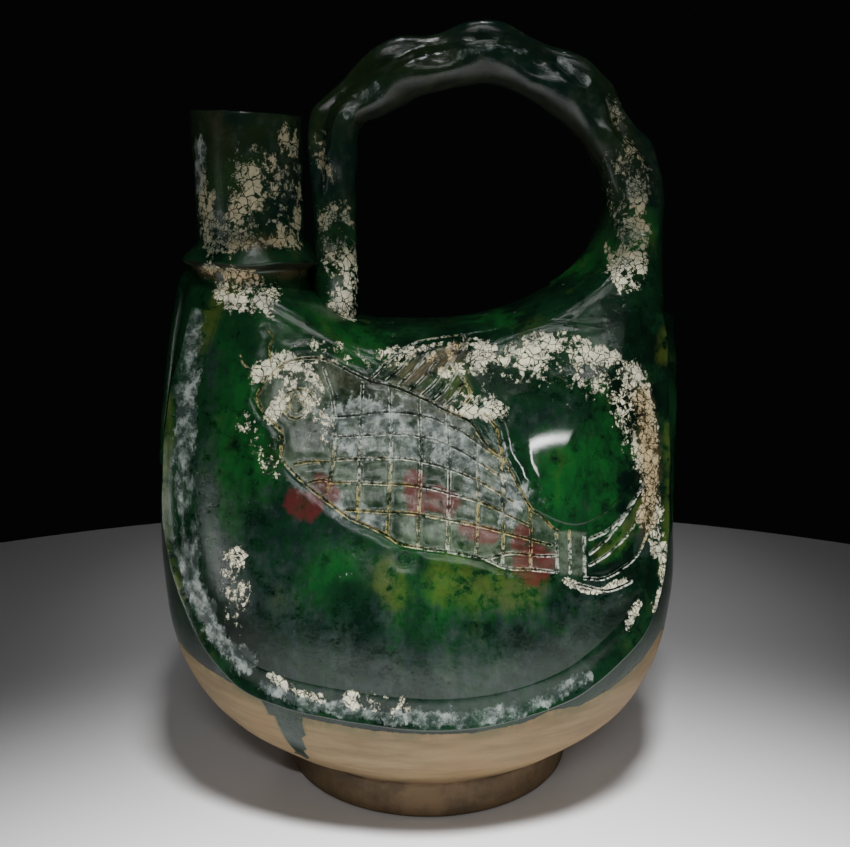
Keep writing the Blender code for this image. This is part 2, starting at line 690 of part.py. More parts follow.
def drop_chips(mesh):
    """Removes every loose chip that a cut leaves, and keeps the largest body."""
    waiting = set(mesh.verts)
    bodies = []
    while waiting:
        body = [waiting.pop()]
        for vertex in body:
            for edge in vertex.link_edges:
                other = edge.other_vert(vertex)
                if other in waiting:
                    waiting.discard(other)
                    body.append(other)
        bodies.append(body)
    bodies.sort(key=len)
    chips = [vertex for body in bodies[:-1] for vertex in body]
    bmesh.ops.delete(mesh, geom=chips, context="VERTS")


def weld(mesh):
    """Joins points nearer than the merge distance, and removes the folds that this leaves."""
    bmesh.ops.triangulate(mesh, faces=mesh.faces)
    bmesh.ops.remove_doubles(mesh, verts=mesh.verts, dist=MERGE_WIDTH)
    bmesh.ops.dissolve_degenerate(mesh, edges=mesh.edges, dist=MERGE_WIDTH)
    seen = {}
    folded = []
    for face in mesh.faces:
        corners = frozenset(face.verts)
        if corners in seen:
            folded += [face, seen.pop(corners)]
        else:
            seen[corners] = face
    bmesh.ops.delete(mesh, geom=folded, context="FACES")
    flaps = []
    for face in mesh.faces:
        loose = sum(edge.is_boundary for edge in face.edges)
        if loose and any(len(edge.link_faces) > 2 for edge in face.edges):
            flaps.append(face)
    bmesh.ops.delete(mesh, geom=flaps, context="FACES")
    open_edges = [edge for edge in mesh.edges if edge.is_boundary]
    filled = bmesh.ops.holes_fill(mesh, edges=open_edges, sides=4)
    bmesh.ops.triangulate(mesh, faces=filled["faces"])


def combine(base, tool, operation):
    """Applies one Boolean and removes the tool."""
    modifier = base.modifiers.new(operation.lower(), "BOOLEAN")
    modifier.operation = operation
    modifier.solver = "EXACT"
    modifier.use_self = tool.name.startswith("grooves")
    modifier.object = tool
    view = bpy.context.evaluated_depsgraph_get()
    result = bpy.data.meshes.new_from_object(base.evaluated_get(view))
    mesh = bmesh.new()
    mesh.from_mesh(result)
    weld(mesh)
    drop_chips(mesh)
    mesh.to_mesh(result)
    mesh.free()
    base.modifiers.clear()
    base.data = result
    bpy.data.objects.remove(tool)


def flask():
    body = pouch()
    mesh = bmesh.new()
    mesh.from_mesh(body.data)
    tree = BVHTree.FromBMesh(mesh)
    mesh.free()
    cut = grooves(tree)
    added = [
        foot(),
        spout(),
        handle(),
        face_seam(tree, -1),
        face_seam(tree, 1),
        end_seam(tree, -1, END_SEAM_LEFT_HEIGHTS, END_SEAM_LEFT_DEPTH),
        end_seam(tree, 1, END_SEAM_RIGHT_HEIGHTS, END_SEAM_RIGHT_DEPTH),
    ]
    for piece in added:
        combine(body, piece, "UNION")
    combine(body, cut, "DIFFERENCE")
    hollow = cavity()
    combine(hollow, bore(), "UNION")
    combine(body, hollow, "DIFFERENCE")
    return body


def centre(piece):
    """Sets the piece over the origin by the middle of its width and depth."""
    for axis in (0, 1):
        values = [vertex.co[axis] for vertex in piece.data.vertices]
        middle = (min(values) + max(values)) / 2
        for vertex in piece.data.vertices:
            vertex.co[axis] -= middle


def glaze():
    material = bpy.data.materials.new("green_lead_glaze")
    material.use_nodes = True
    shader = material.node_tree.nodes["Principled BSDF"]
    shader.inputs["Base Color"].default_value = (0.055, 0.150, 0.085, 1.0)
    shader.inputs["Roughness"].default_value = 0.25
    shader.inputs["Metallic"].default_value = 0.0
    return material


clear_scene()
piece = flask()
centre(piece)
piece.name = "flask"
piece.data.name = "flask"
piece.data.materials.clear()
piece.data.materials.append(glaze())
piece.data.shade_smooth()
piece.data.set_sharp_from_angle(angle=radians(32))
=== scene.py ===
from math import cos, hypot, pi, radians, sin

import bmesh
import bpy
import numpy as np
from mathutils import Matrix, Vector, noise
from mathutils.bvhtree import BVHTree
from mathutils.kdtree import KDTree


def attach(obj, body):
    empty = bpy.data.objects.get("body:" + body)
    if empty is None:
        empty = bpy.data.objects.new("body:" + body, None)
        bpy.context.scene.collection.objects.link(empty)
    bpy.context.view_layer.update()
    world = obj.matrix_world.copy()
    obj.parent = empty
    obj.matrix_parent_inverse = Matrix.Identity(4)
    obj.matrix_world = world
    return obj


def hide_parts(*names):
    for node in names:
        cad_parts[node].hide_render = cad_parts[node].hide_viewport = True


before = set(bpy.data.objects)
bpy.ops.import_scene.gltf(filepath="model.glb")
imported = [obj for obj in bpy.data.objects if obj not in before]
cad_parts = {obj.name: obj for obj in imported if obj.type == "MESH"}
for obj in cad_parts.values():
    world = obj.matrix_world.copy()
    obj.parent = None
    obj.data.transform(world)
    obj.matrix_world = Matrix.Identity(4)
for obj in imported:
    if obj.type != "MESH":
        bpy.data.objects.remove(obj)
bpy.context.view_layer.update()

# The pouch: a jar thrown in buff clay and pressed flat at the top while soft, like a leather bag
# that is filled below and pinched shut above. It is worked from the foot's axis, and moved to
# its place in the frame once everything has been luted on.
FOOT_HEIGHT = 0.014
BODY_LEFT = 0.108
BODY_RIGHT = 0.1005
BODY_HALF_DEPTH = 0.080
SADDLE = 0.1855
SADDLE_LEFT = 0.018
CROWN = 0.012
CROWN_START = 0.86
SPOUT_OFFSET = 0.0682
SPOUT_SHOULDER = 0.021
HANDLE_SHOULDER = 0.050
HANDLE_SHOULDER_CURVE = 2.1
POUCH_COLUMNS = 212
POUCH_ROWS = 98
# Level rings from the foot's joint to the crown: share of the height, of the left and right
# reach and of the half depth, and squareness.
RINGS = (
    (0.000, 0.55, 0.59, 0.735, 2.00),
    (0.04, 0.705, 0.725, 0.815, 2.00),
    (0.1, 0.84, 0.85, 0.91, 2.02),
    (0.2, 0.938, 0.94, 0.978, 2.08),
    (0.32, 0.988, 0.99, 1.000, 2.2),
    (0.475, 1.000, 1.000, 0.94, 2.45),
    (0.66, 0.99, 0.968, 0.79, 2.8),
    (0.85, 0.94, 0.922, 0.59, 3.00),
    (1.000, 0.885, 0.905, 0.4, 2.9),
)


def ease(t):
    t = min(max(t, 0.0), 1.0)
    return t * t * (3 - 2 * t)


def mix(a, b, t):
    return a + (b - a) * t


def between(stations, share):
    """The row of values at a share, on a smooth curve through the stations."""
    last = len(stations) - 1
    index = 0
    while index < last - 1 and share > stations[index + 1][0]:
        index += 1
    start, end = stations[index], stations[index + 1]
    before, after = stations[max(index - 1, 0)], stations[min(index + 2, last)]
    span = end[0] - start[0]
    t = min(max((share - start[0]) / span, 0.0), 1.0)
    row = []
    for column in range(1, len(start)):
        slope_in = (end[column] - before[column]) / (end[0] - before[0])
        slope_out = (after[column] - start[column]) / (after[0] - start[0])
        row.append(
            (2 * t**3 - 3 * t**2 + 1) * start[column]
            + (t**3 - 2 * t**2 + t) * span * slope_in
            + (3 * t**2 - 2 * t**3) * end[column]
            + (t**3 - t**2) * span * slope_out
        )
    return row


def rounded_square(turn, half_width, half_height, squareness):
    """The point at an angle on a curve between an ellipse (2) and a rectangle (large)."""
    c, s = cos(turn), sin(turn)
    size = (abs(c) / half_width) ** squareness + (abs(s) / half_height) ** squareness
    radius = size ** (-1 / squareness)
    return radius * c, radius * s


def shoulder_rise(x):
    if x < 0:
        return SPOUT_SHOULDER * ease((-x - SADDLE_LEFT) / (SPOUT_OFFSET - SADDLE_LEFT))
    share = min(x / BODY_RIGHT / RINGS[-1][2], 1.0)
    return HANDLE_SHOULDER * share**HANDLE_SHOULDER_CURVE


def ring_at(share, wall):
    """One level ring: its height and lift, and its two quarters measured out evenly."""
    crown = CROWN - wall
    along = min(share / CROWN_START, 1.0)
    left, right, depth, square = between(RINGS, along)
    left = left * BODY_LEFT - wall
    right = right * BODY_RIGHT - wall
    depth = depth * BODY_HALF_DEPTH - wall
    height = mix(FOOT_HEIGHT + wall, SADDLE - CROWN, along)
    if share > CROWN_START:
        turn = (share - CROWN_START) / (1 - CROWN_START) * pi / 2
        height += crown * sin(turn)
        depth *= cos(turn)
        left -= crown * (1 - cos(turn))
        right -= crown * (1 - cos(turn))
    quarters = []
    for reach in (left, right):
        turns = [i / 60 * pi / 2 for i in range(61)]
        points = np.array([rounded_square(turn, reach, max(depth, 1e-6), square) for turn in turns])
        lengths = np.concatenate([[0.0], np.cumsum(np.hypot(*np.diff(points, axis=0).T))])
        quarters.append((points, lengths / lengths[-1]))
    return height, ease((along - 0.5) / 0.5), quarters


def rolled(columns, rows, place):
    """A sheet of clay rolled into a closed form: place(around, along) sets each of its points."""
    mesh = bmesh.new()
    bmesh.ops.create_grid(mesh, x_segments=columns, y_segments=rows, size=0.5)
    for vertex in mesh.verts:
        around, along = round(vertex.co.x + 0.5, 9), round(vertex.co.y + 0.5, 9)
        vertex.co = place(around % 1.0, along)
    bmesh.ops.remove_doubles(mesh, verts=mesh.verts, dist=1e-5)
    bmesh.ops.holes_fill(mesh, edges=[edge for edge in mesh.edges if edge.is_boundary], sides=0)
    bmesh.ops.recalc_face_normals(mesh, faces=mesh.faces)
    return mesh


def pouch(columns, rows, wall=0.0):
    """The pouch as a closed bag, set in from its outside by a wall."""
    rings = {}

    def place(around, share):
        if share not in rings:
            rings[share] = ring_at(share, wall)
        height, lift, quarters = rings[share]
        quarter, along = divmod(around * 4, 1.0)
        if quarter in (1, 3):
            along = 1 - along
        points, lengths = quarters[0 if quarter in (1, 2) else 1]
        x = float(np.interp(along, lengths, points[:, 0]))
        y = float(np.interp(along, lengths, points[:, 1]))
        x = -x if quarter in (1, 2) else x
        y = -y if quarter in (2, 3) else y
        return x, y, height + lift * shoulder_rise(x)

    return rolled(columns, rows, place)


def piece(name, mesh):
    """An object in the scene from a bmesh."""
    data = bpy.data.meshes.new(name)
    mesh.to_mesh(data)
    mesh.free()
    made = bpy.data.objects.new(name, data)
    bpy.context.scene.collection.objects.link(made)
    return made


pouch_mesh = pouch(POUCH_COLUMNS, POUCH_ROWS)
pouch_tree = BVHTree.FromBMesh(pouch_mesh)
flask = piece("flask_glazed", pouch_mesh)

# The seam strips: rolls of clay pressed on round both broad faces, where a leather bag would be
# stitched. Each stands proud on its outer side and is smeared down to the face on its inside.
# A rounder strip covers the seam down the middle of each narrow end.
STRIP_EDGE = (
    (-87.7, 191.9), (-91.6, 174.9), (-94.9, 162.6), (-96.9, 147.6), (-98, 132.6), (-98.4, 113.9),
    (-95.3, 99.7), (-89.2, 84.4), (-79.5, 69.5), (-67.3, 58.6), (-51.8, 54.6), (-35.1, 52.9),
    (-17, 51.2), (0.8, 50.1), (18.6, 50.6), (36.8, 53.4), (53.6, 58.4), (67.1, 66.3),
    (79.3, 76), (85.5, 89.6), (88.4, 107.6), (88.9, 129.9), (88.1, 159.6), (87.5, 191.7),
)
STRIP_SECTION = (
    (-1, -2.6), (-0.6, 0.6), (-0.35, 2.3), (0.1, 3.2), (0.8, 3.45), (1.7, 3.1), (2.9, 2.25),
    (4.3, 1.5), (5.9, 0.9), (7.7, 0.42), (9.5, 0.1), (10.8, -0.5), (10.6, -2.6),
)
END_SECTION = (
    (-5.6, -2.2), (-5, 0.3), (-4.2, 0.66), (-2.9, 0.88), (-1.4, 0.97), (0, 1), (1.4, 0.97),
    (2.9, 0.88), (4.2, 0.66), (5, 0.3), (5.6, -2.2),
)
LEFT_END = ((206, 4), (196, 4.4), (165, 4.3), (130, 4.2), (125.5, 3.6), (124, 0.6))
RIGHT_END = ((188.5, 5.8), (180, 6.2), (150, 6), (120, 4.6), (95, 2.4), (72, 0.6))
MM = 0.001


def drawn(points, step):
    """Points at every step along a smooth line through the given ones."""
    points = [Vector(point) for point in points]
    if len(points) > 2:
        framed = [points[0] * 2 - points[1]] + points + [points[-1] * 2 - points[-2]]
        fine = []
        for a, b, c, d in zip(framed, framed[1:], framed[2:], framed[3:]):
            for i in range(10):
                t = i / 10
                bend = (a * 2 - b * 5 + c * 4 - d) * t * t + (b * 3 - a - c * 3 + d) * t**3
                fine.append((b * 2 + (c - a) * t + bend) / 2)
        points = fine + [points[-1]]
    lengths = np.cumsum([0.0] + [(b - a).length for a, b in zip(points, points[1:])])
    count = max(int(lengths[-1] / step), 1)
    wanted = np.linspace(0.0, lengths[-1], count + 1)
    columns = np.array([list(point) for point in points]).T
    return np.array([np.interp(wanted, lengths, column) for column in columns]).T


def cast(tree, start, direction):
    point, normal, _, _ = tree.ray_cast(Vector(start), Vector(direction))
    return point, normal


def pressed_on(seats, section):
    """A strip along its seats (point, outward, across, thickness), united with the pouch later."""
    rows, columns = len(seats) - 1, len(section)

    def place(around, along):
        point, outward, across, thickness = seats[round(along * rows)]
        side, height = section[round(around * columns) % columns]
        lift = height * thickness if height > 0 else height
        return point + across * (side * MM) + outward * (lift * MM)

    return rolled(columns, rows, place)


def strip_seats(side):
    line = drawn(STRIP_EDGE, 1.8) * MM
    seats = []
    for index, (x, z) in enumerate(line):
        point, _ = cast(pouch_tree, (x, side, z), (0, -side, 0))
        outward = Vector()
        for shift in (-0.003, 0.0, 0.003):
            outward += cast(pouch_tree, (x * 0.985, side, z + shift), (0, -side, 0))[1]
        outward.normalize()
        ahead = line[min(index + 2, len(line) - 1)] - line[max(index - 2, 0)]
        across = Vector((-ahead[1], 0.0, ahead[0])).normalized()
        across = (across - outward * across.dot(outward)).normalized()
        wobble = noise.noise(Vector((x * 45, side * 3.0, z * 45)))
        thickness = 1 + 0.10 * wobble + 0.06 * noise.noise(Vector((x * 160, side * 7.0, z * 160)))
        seats.append((point, outward, across, thickness))
    return seats


def end_seats(side, stations):
    seats = []
    heights = [station[0] for station in stations]
    for height in np.arange(heights[0], heights[-1] - 0.1, -1.6):
        rise = float(np.interp(-height, [-z for z in heights], [s[1] for s in stations]))
        point, normal = cast(pouch_tree, (side, 0.0004, height * MM), (-side, 0, 0))
        outward = Vector((normal.x, 0, normal.z)).normalized()
        point.y = 0.0008 * noise.noise(Vector((side, 0.0, height * 0.06)))
        rise *= 1 + 0.08 * noise.noise(Vector((side * 5.0, 0.0, height * 0.11)))
        seats.append((point, outward, Vector((0, 1, 0)), rise))
    return seats


strips = [piece("strip_front", pressed_on(strip_seats(-1), STRIP_SECTION))]
strips.append(piece("strip_back", pressed_on(strip_seats(1), STRIP_SECTION)))
strips.append(piece("strip_left", pressed_on(end_seats(-1, LEFT_END), END_SECTION)))
strips.append(piece("strip_right", pressed_on(end_seats(1, RIGHT_END), END_SECTION)))

# The foot: a low ring turned on the wheel and hollowed underneath, then luted to the pouch.
# Its outside is a little rough and its edges are worn.
FOOT_RADIUS = 0.060
FOOT_RING = 0.011
FOOT_RECESS = 0.005


def turned(profile, steps):
    """A turned solid: the profile (radius, height), spun once round the Z axis."""
    mesh = bmesh.new()
    verts = [mesh.verts.new((radius, 0.0, height)) for radius, height in profile]
    edges = [mesh.edges.new(pair) for pair in zip(verts, verts[1:])]
    bmesh.ops.spin(
        mesh, geom=verts + edges, cent=(0, 0, 0), axis=(0, 0, 1), angle=2 * pi, steps=steps,
        use_merge=True,
    )
    bmesh.ops.remove_doubles(mesh, verts=mesh.verts, dist=1e-6)
    bmesh.ops.rotate(mesh, verts=mesh.verts, matrix=Matrix.Rotation(pi / steps, 3, "Z"))
    bmesh.ops.recalc_face_normals(mesh, faces=mesh.faces)
    return mesh


def rounded(corners, radius, steps=4):
    """A profile with each of its inner corners rounded to a radius."""
    points = [corners[0]]
    for before, corner, after in zip(corners, corners[1:], corners[2:]):
        here = Vector(corner)
        to_last = Vector(before) - here
        to_next = Vector(after) - here
        cut = min(radius, to_last.length / 2.2, to_next.length / 2.2)
        start = here + to_last.normalized() * cut
        end = here + to_next.normalized() * cut
        for i in range(steps + 1):
            t = i / steps
            spot = start * (1 - t) ** 2 + here * 2 * t * (1 - t) + end * t**2
            points.append((spot.x, spot.y))
    points.append(corners[-1])
    return points


ring_inside = FOOT_RADIUS - FOOT_RING
foot_profile = rounded((
    (0.0, FOOT_RECESS),
    (ring_inside - 0.0016, FOOT_RECESS),
    (ring_inside, 0.0),
    (FOOT_RADIUS - 0.0006, 0.0),
    (FOOT_RADIUS, 0.0030),
    (FOOT_RADIUS - 0.0008, FOOT_HEIGHT),
    (FOOT_RADIUS - 0.0040, FOOT_HEIGHT + 0.0030),
    (0.0, FOOT_HEIGHT + 0.0030),
), 0.0014, 3)
foot = piece("foot", turned(foot_profile, 120))

# The spout: a short thrown tube set on the left shoulder, leaning a little outwards, with its lip
# cut aslant. A wedge-shaped strip of clay is pressed round its foot as a collar.
SPOUT_BASE = 0.190
SPOUT_RIM = 0.2645
SPOUT_RADIUS = 0.0212
SPOUT_WALL = 0.0045
SPOUT_LEAN = 0.018
LIP_SLOPE = 0.044
COLLAR_TOP = 0.2165
COLLAR_EDGE = 0.2097
COLLAR_LIP = 0.2083
COLLAR_UNDERSIDE = 0.2063
COLLAR_RADIUS = 0.0272


def leaning(mesh):
    """Leans a turned piece with the spout, lets the lip dip to the right, and sets it in place."""
    for vertex in mesh.verts:
        share = (vertex.co.z - SPOUT_BASE) / (SPOUT_RIM - SPOUT_BASE)
        dip = vertex.co.x * LIP_SLOPE * max(share, 0.0) ** 3
        proud = ease((hypot(vertex.co.x, vertex.co.y) - 0.0216) / 0.004)
        if COLLAR_UNDERSIDE - 0.001 < vertex.co.z < COLLAR_TOP + 0.001:
            vertex.co.x *= 1 + 0.05 * proud * noise.noise(vertex.co * 60)
            vertex.co.y *= 1 + 0.05 * proud * noise.noise(vertex.co * 60)
            dip += 0.0011 * proud * noise.noise(vertex.co * 75 + Vector((5.0, 0.0, 0.0)))
        vertex.co.x -= SPOUT_OFFSET + (vertex.co.z - SPOUT_BASE) * SPOUT_LEAN
        vertex.co.z -= dip
    return mesh


def stepped(profile, stretch):
    """The same profile with its long stretches cut up, so that they can be pushed about."""
    points = [profile[0]]
    for start, end in zip(profile, profile[1:]):
        parts = max(int(hypot(end[0] - start[0], end[1] - start[1]) / stretch), 1)
        for i in range(1, parts + 1):
            points.append((mix(start[0], end[0], i / parts), mix(start[1], end[1], i / parts)))
    return points


spout_profile = rounded((
    (SPOUT_RADIUS - SPOUT_WALL / 2, SPOUT_BASE),
    (0.0228, SPOUT_BASE),
    (0.0228, COLLAR_UNDERSIDE),
    (COLLAR_RADIUS - 0.0006, COLLAR_LIP),
    (COLLAR_RADIUS, COLLAR_EDGE),
    (SPOUT_RADIUS, COLLAR_TOP),
    (SPOUT_RADIUS, 0.2400),
    (SPOUT_RADIUS + 0.0004, SPOUT_RIM),
    (SPOUT_RADIUS - SPOUT_WALL / 2, SPOUT_RIM),
), 0.0009, 3)
spout_profile = [(0.0, SPOUT_BASE)] + stepped(spout_profile, 0.0022) + [(0.0, SPOUT_RIM)]
spout = piece("spout", leaning(turned(spout_profile, 96)))

# The handle: a strap of clay bent over from beside the spout to the right shoulder. Its top was
# pinched between finger and thumb all along, into a wavy crest like a cock's comb.
OPENING_OFFSET = 0.0213
OPENING_HEIGHT = 0.2302
OPENING_HALF_WIDTH = 0.0487
OPENING_HALF_HEIGHT = 0.0447
STRAP_LEFT = 0.0178
STRAP_RIGHT = 0.0222
STRAP_TOP = 0.0212
# The strap's two rails over the opening: turn in degrees from +X, and the shares of an ellipse
# about the opening's middle at which the inner and the outer rail run.
RAILS = (
    (182, 1, 1), (170, 1.02, 1.028), (160, 1.062, 1.085), (152, 1.13, 1.126), (146, 1.17, 1.106),
    (140, 1.108, 1.078), (131, 1.062, 1.081), (122, 1.046, 1.077), (115, 1.026, 1.05),
    (109, 1.016, 1.01), (104, 1.01, 1.001), (96, 1.007, 1.026), (89, 1.016, 1.038), (82, 1.008, 1.026),
    (76, 0.992, 0.992), (70, 0.977, 0.968), (63, 0.966, 0.977), (55, 0.945, 0.994), (48, 0.936, 0.986),
    (42, 0.941, 0.981), (34, 0.945, 0.946), (27, 0.95, 0.947), (20, 0.962, 0.984), (12, 0.961, 0.992),
    (0, 0.98, 1), (-20, 0.935, 1), (-50, 0.851, 1),
)
LEG_BOTTOM = 0.184
RIGHT_FOOT_TURN = radians(-50)
STRAP_HALF_DEPTH = 0.0108
CREST_HALF_DEPTH = 0.0040
LEG_HALF_DEPTH = 0.0085
FOOT_FLARE = 0.006
PINCH_SWAY = 0.0016
PINCH_NIP = 0.34
THUMB_DENT = 0.0016
LEDGE = 0.56
LEDGE_SWAY = 0.07
LEDGE_WIDTH = 0.20
# Shares of the strap's length: how far before the arch the pinching starts, where it ends, and
# where the strap widens to its right foot and is tucked in at its end.
PINCH_LEAD = 0.03
PINCH_END = 0.86
WIDENING_FROM = 0.72
TUCKED_FROM = 0.88
CREST_PEAKS = (182, 152, 137, 124, 106, 90, 71, 52, 41, 28, 14, -6)
STRAP_COLUMNS = 52
STRAP_ROWS = 176


def strap_rails(share):
    """Inner and outer rail points and the turn of the strap, from left foot to right foot."""
    leg = OPENING_HEIGHT - LEG_BOTTOM
    arch = (OPENING_HALF_WIDTH + OPENING_HALF_HEIGHT) / 2 * (pi - RIGHT_FOOT_TURN)
    length = share * (leg + arch)
    if length < leg:
        height = LEG_BOTTOM + length
        inner = (OPENING_OFFSET - OPENING_HALF_WIDTH, height)
        return inner, (inner[0] - STRAP_LEFT, height), pi, leg / (leg + arch)
    turn = mix(pi, RIGHT_FOOT_TURN, (length - leg) / arch)
    inner_share, outer_share = between([(-radians(a), b, c) for a, b, c in RAILS], -turn)
    x, z = rounded_square(turn, OPENING_HALF_WIDTH, OPENING_HALF_HEIGHT, 2)
    inner = (OPENING_OFFSET + x * inner_share, OPENING_HEIGHT + z * inner_share)
    outer_width = OPENING_HALF_WIDTH + (STRAP_LEFT if turn > pi / 2 else STRAP_RIGHT)
    x, z = rounded_square(turn, outer_width, OPENING_HALF_HEIGHT + STRAP_TOP, 2)
    outer = (OPENING_OFFSET + x * outer_share, OPENING_HEIGHT + z * outer_share)
    if turn < 0:
        outer = (OPENING_OFFSET + outer_width, OPENING_HEIGHT + outer_width * sin(turn) / cos(turn))
    return inner, outer, turn, leg / (leg + arch)


def on_strap(around, along):
    inner, outer, turn, arch_start = strap_rails(along)
    across, up = rounded_square(around * 2 * pi, 1.0, 1.0, 2.5)
    reach = (up + 1) / 2
    pinched = ease((along - arch_start + PINCH_LEAD) / 0.08) * ease((PINCH_END - along) / 0.10)
    phase = float(np.interp(-turn, [-radians(peak) for peak in CREST_PEAKS], range(len(CREST_PEAKS))))
    wave = cos(phase * pi)
    on_crest = ease((reach - LEDGE - LEDGE_SWAY * wave) / LEDGE_WIDTH)
    to_foot = ease((along - WIDENING_FROM) / 0.2)
    inside = mix(LEG_HALF_DEPTH, STRAP_HALF_DEPTH, ease(along / arch_start - 0.5))
    crest = mix(LEG_HALF_DEPTH, CREST_HALF_DEPTH, pinched)
    crest = mix(crest, STRAP_HALF_DEPTH, to_foot)
    half_depth = mix(inside, crest, mix(ease(reach), on_crest, pinched))
    half_depth *= 1 - PINCH_NIP * pinched * (1 - wave * (1 if across < 0 else -1)) / 2 * on_crest
    dent = ease(1 - abs(reach - LEDGE - 0.02) / 0.3) * (1 + wave * (1 if across < 0 else -1)) / 2
    half_depth -= THUMB_DENT * dent * pinched
    half_depth += FOOT_FLARE * (ease(1 - along / 0.10) + to_foot)
    half_depth *= 1 - 0.75 * ease((along - TUCKED_FROM) / 0.12)
    sway = PINCH_SWAY * wave * pinched * ease(reach)
    return mix(inner[0], outer[0], reach), across * half_depth + sway, mix(inner[1], outer[1], reach)


handle = piece("handle", rolled(STRAP_COLUMNS, STRAP_ROWS, on_strap))

# The luting: the strips, foot, spout and handle are joined to the pouch with wet clay, and the
# joint under the handle's right foot is wiped soft with a finger. The inside and the way out
# through the spout are opened, and the whole surface keeps the push and pull of the hands.
WALL = 0.0055
# The wiped joint's short, sharp edges, right of and above a place.
JOINT_FROM = (0.036, 0.186)
JOINT_HALF_WIDTH = 0.024
JOINT_EDGE = 0.006
JOINT_NEAR = 0.0004
JOINT_ANGLE = radians(14)
# Each wiping: its reach from the joint, and its number of strokes.
WIPED = ((0.010, 3), (0.0065, 5), (0.0035, 6))
HAND_WAVES = ((28.0, 0.00055), (75.0, 0.00022), (190.0, 0.00007))


def unite(base, tool, operation):
    """Applies one Boolean and removes the tool."""
    modifier = base.modifiers.new("luting", "BOOLEAN")
    modifier.operation = operation
    modifier.solver = "EXACT"
    modifier.object = tool
    view = bpy.context.evaluated_depsgraph_get()
    result = bpy.data.meshes.new_from_object(base.evaluated_get(view))
    base.modifiers.clear()
    base.data = result
    bpy.data.objects.remove(tool)


for part in strips + [foot, spout, handle]:
    unite(flask, part, "UNION")

wiped = bmesh.new()
wiped.from_mesh(flask.data)
joint = []
for edge in wiped.edges:
    middle = (edge.verts[0].co + edge.verts[1].co) / 2
    under_foot = middle.x > JOINT_FROM[0] and middle.z > JOINT_FROM[1]
    sharp = len(edge.link_faces) == 2 and edge.calc_face_angle() > JOINT_ANGLE
    if under_foot and sharp and edge.calc_length() < JOINT_EDGE:
        near = pouch_tree.find_nearest(middle)
        if near[3] < JOINT_NEAR and abs(middle.y) < JOINT_HALF_WIDTH:
            joint.append(middle)
joint_tree = KDTree(len(joint))
for index, spot in enumerate(joint):
    joint_tree.insert(spot, index)
joint_tree.balance()
for reach, passes in WIPED:
    near_joint = [v for v in wiped.verts if v.co.z > 0.17 and joint_tree.find(v.co)[2] < reach]
    for _ in range(passes):
        bmesh.ops.smooth_vert(
            wiped, verts=near_joint, factor=0.5, use_axis_x=True, use_axis_y=True, use_axis_z=True,
        )
wiped.to_mesh(flask.data)
wiped.free()

bore_radius = SPOUT_RADIUS - SPOUT_WALL
bore_profile = (
    (0.0, 0.180),
    (bore_radius, 0.180),
    (bore_radius, 0.200),
    (bore_radius, 0.220),
    (bore_radius, 0.240),
    (bore_radius, SPOUT_RIM - 0.0025),
    (bore_radius + 0.0003, SPOUT_RIM - 0.0012),
    (bore_radius + 0.0010, SPOUT_RIM - 0.0003),
    (bore_radius + 0.0020, SPOUT_RIM + 0.0005),
    (bore_radius + 0.0020, SPOUT_RIM + 0.0060),
    (0.0, SPOUT_RIM + 0.0060),
)
hollow = piece("hollow", pouch(72, 36, WALL))
unite(hollow, piece("bore", leaning(turned(bore_profile, 64))), "UNION")
unite(flask, hollow, "DIFFERENCE")

# The fish: a carp drawn on the front with a pointed tool in the leather-hard clay, with its
# scales as a net, its fins in rays, and the curl of water that its tail throws up behind it.
# The tool leaves a rounded groove with a low burr on both sides.
HEAD_LINE = ((-62.7, 162.4), (-58.4, 169.3), (-50.5, 174.8), (-39.7, 175.3), (-30.5, 171.6), (-21.3, 167.2))
BACK_LINE = (
    (-21.3, 167.2), (-11.4, 164.9), (-4, 162.1), (3.4, 158.8), (11.1, 155.5), (15.5, 153.5),
    (20.5, 147.3), (25.1, 143.4),
)
FLANK_LINE = (
    (20.7, 156.2), (24.6, 152.3), (25.9, 148), (27.3, 142.7), (29.4, 138.1), (32.8, 132.2), (37, 125.2),
    (40.2, 122.9), (45.2, 117.7),
)
BELLY_LINE = (
    (-52.2, 140.8), (-43.4, 132.5), (-34.3, 126.2), (-28.1, 122.2), (-20.6, 119.3), (-14.2, 116.3),
    (-9.5, 113.7), (-1.4, 112.4), (7.2, 111.5), (15.7, 109.8), (20.7, 108.8), (27.4, 106),
    (37.4, 104.7), (45.8, 103.6),
)
FACE_LINES = (
    ((-62.7, 162.4), (-59.9, 157.3), (-55, 153), (-53.2, 150.6), (-53, 142.4)),
    ((-38.5, 172), (-35.2, 163), (-34, 152), (-34.2, 140), (-36.5, 130)),
    ((-59.8, 185.8), (-57.1, 183.1), (-58.4, 179.6), (-57.6, 174)),
    ((-69.2, 177), (-68, 174.3), (-64, 171), (-60.2, 167.6)),
)
SCALE_ROWS = (
    ((-35, 155.5), (-10, 156.6), (8, 152.4), (26.2, 141.7)),
    ((-34.5, 148.8), (-5, 149), (12, 144), (27.8, 134.6)),
    ((-34, 141.2), (-5, 141), (14, 136), (30.4, 127.4)),
    ((-34.5, 133.6), (-5, 132.6), (16, 128), (36.5, 119.4)),
    ((-29, 124.6), (-5, 123.4), (18, 119.6), (44, 112.6)), ((-48, 140), (-42, 141), (-36, 140.6)),
    ((-43, 133.6), (-38.5, 134.6), (-34.5, 133.8)),
)
SCALE_BARS = (
    ((-24.2, 166.8), (-24.4, 148), (-25.2, 121.8)), ((-14, 165.2), (-13.4, 145), (-14.4, 117.2)),
    ((-3.4, 161.4), (-2.6, 142), (-3.6, 113.4)), ((7, 156.8), (7.8, 138), (7, 112.2)),
    ((17, 150.8), (18.2, 134), (17.2, 110.2)), ((26.6, 143), (27.2, 127), (26.4, 107)),
    ((36.6, 125), (36.8, 115), (36.4, 105.6)),
)
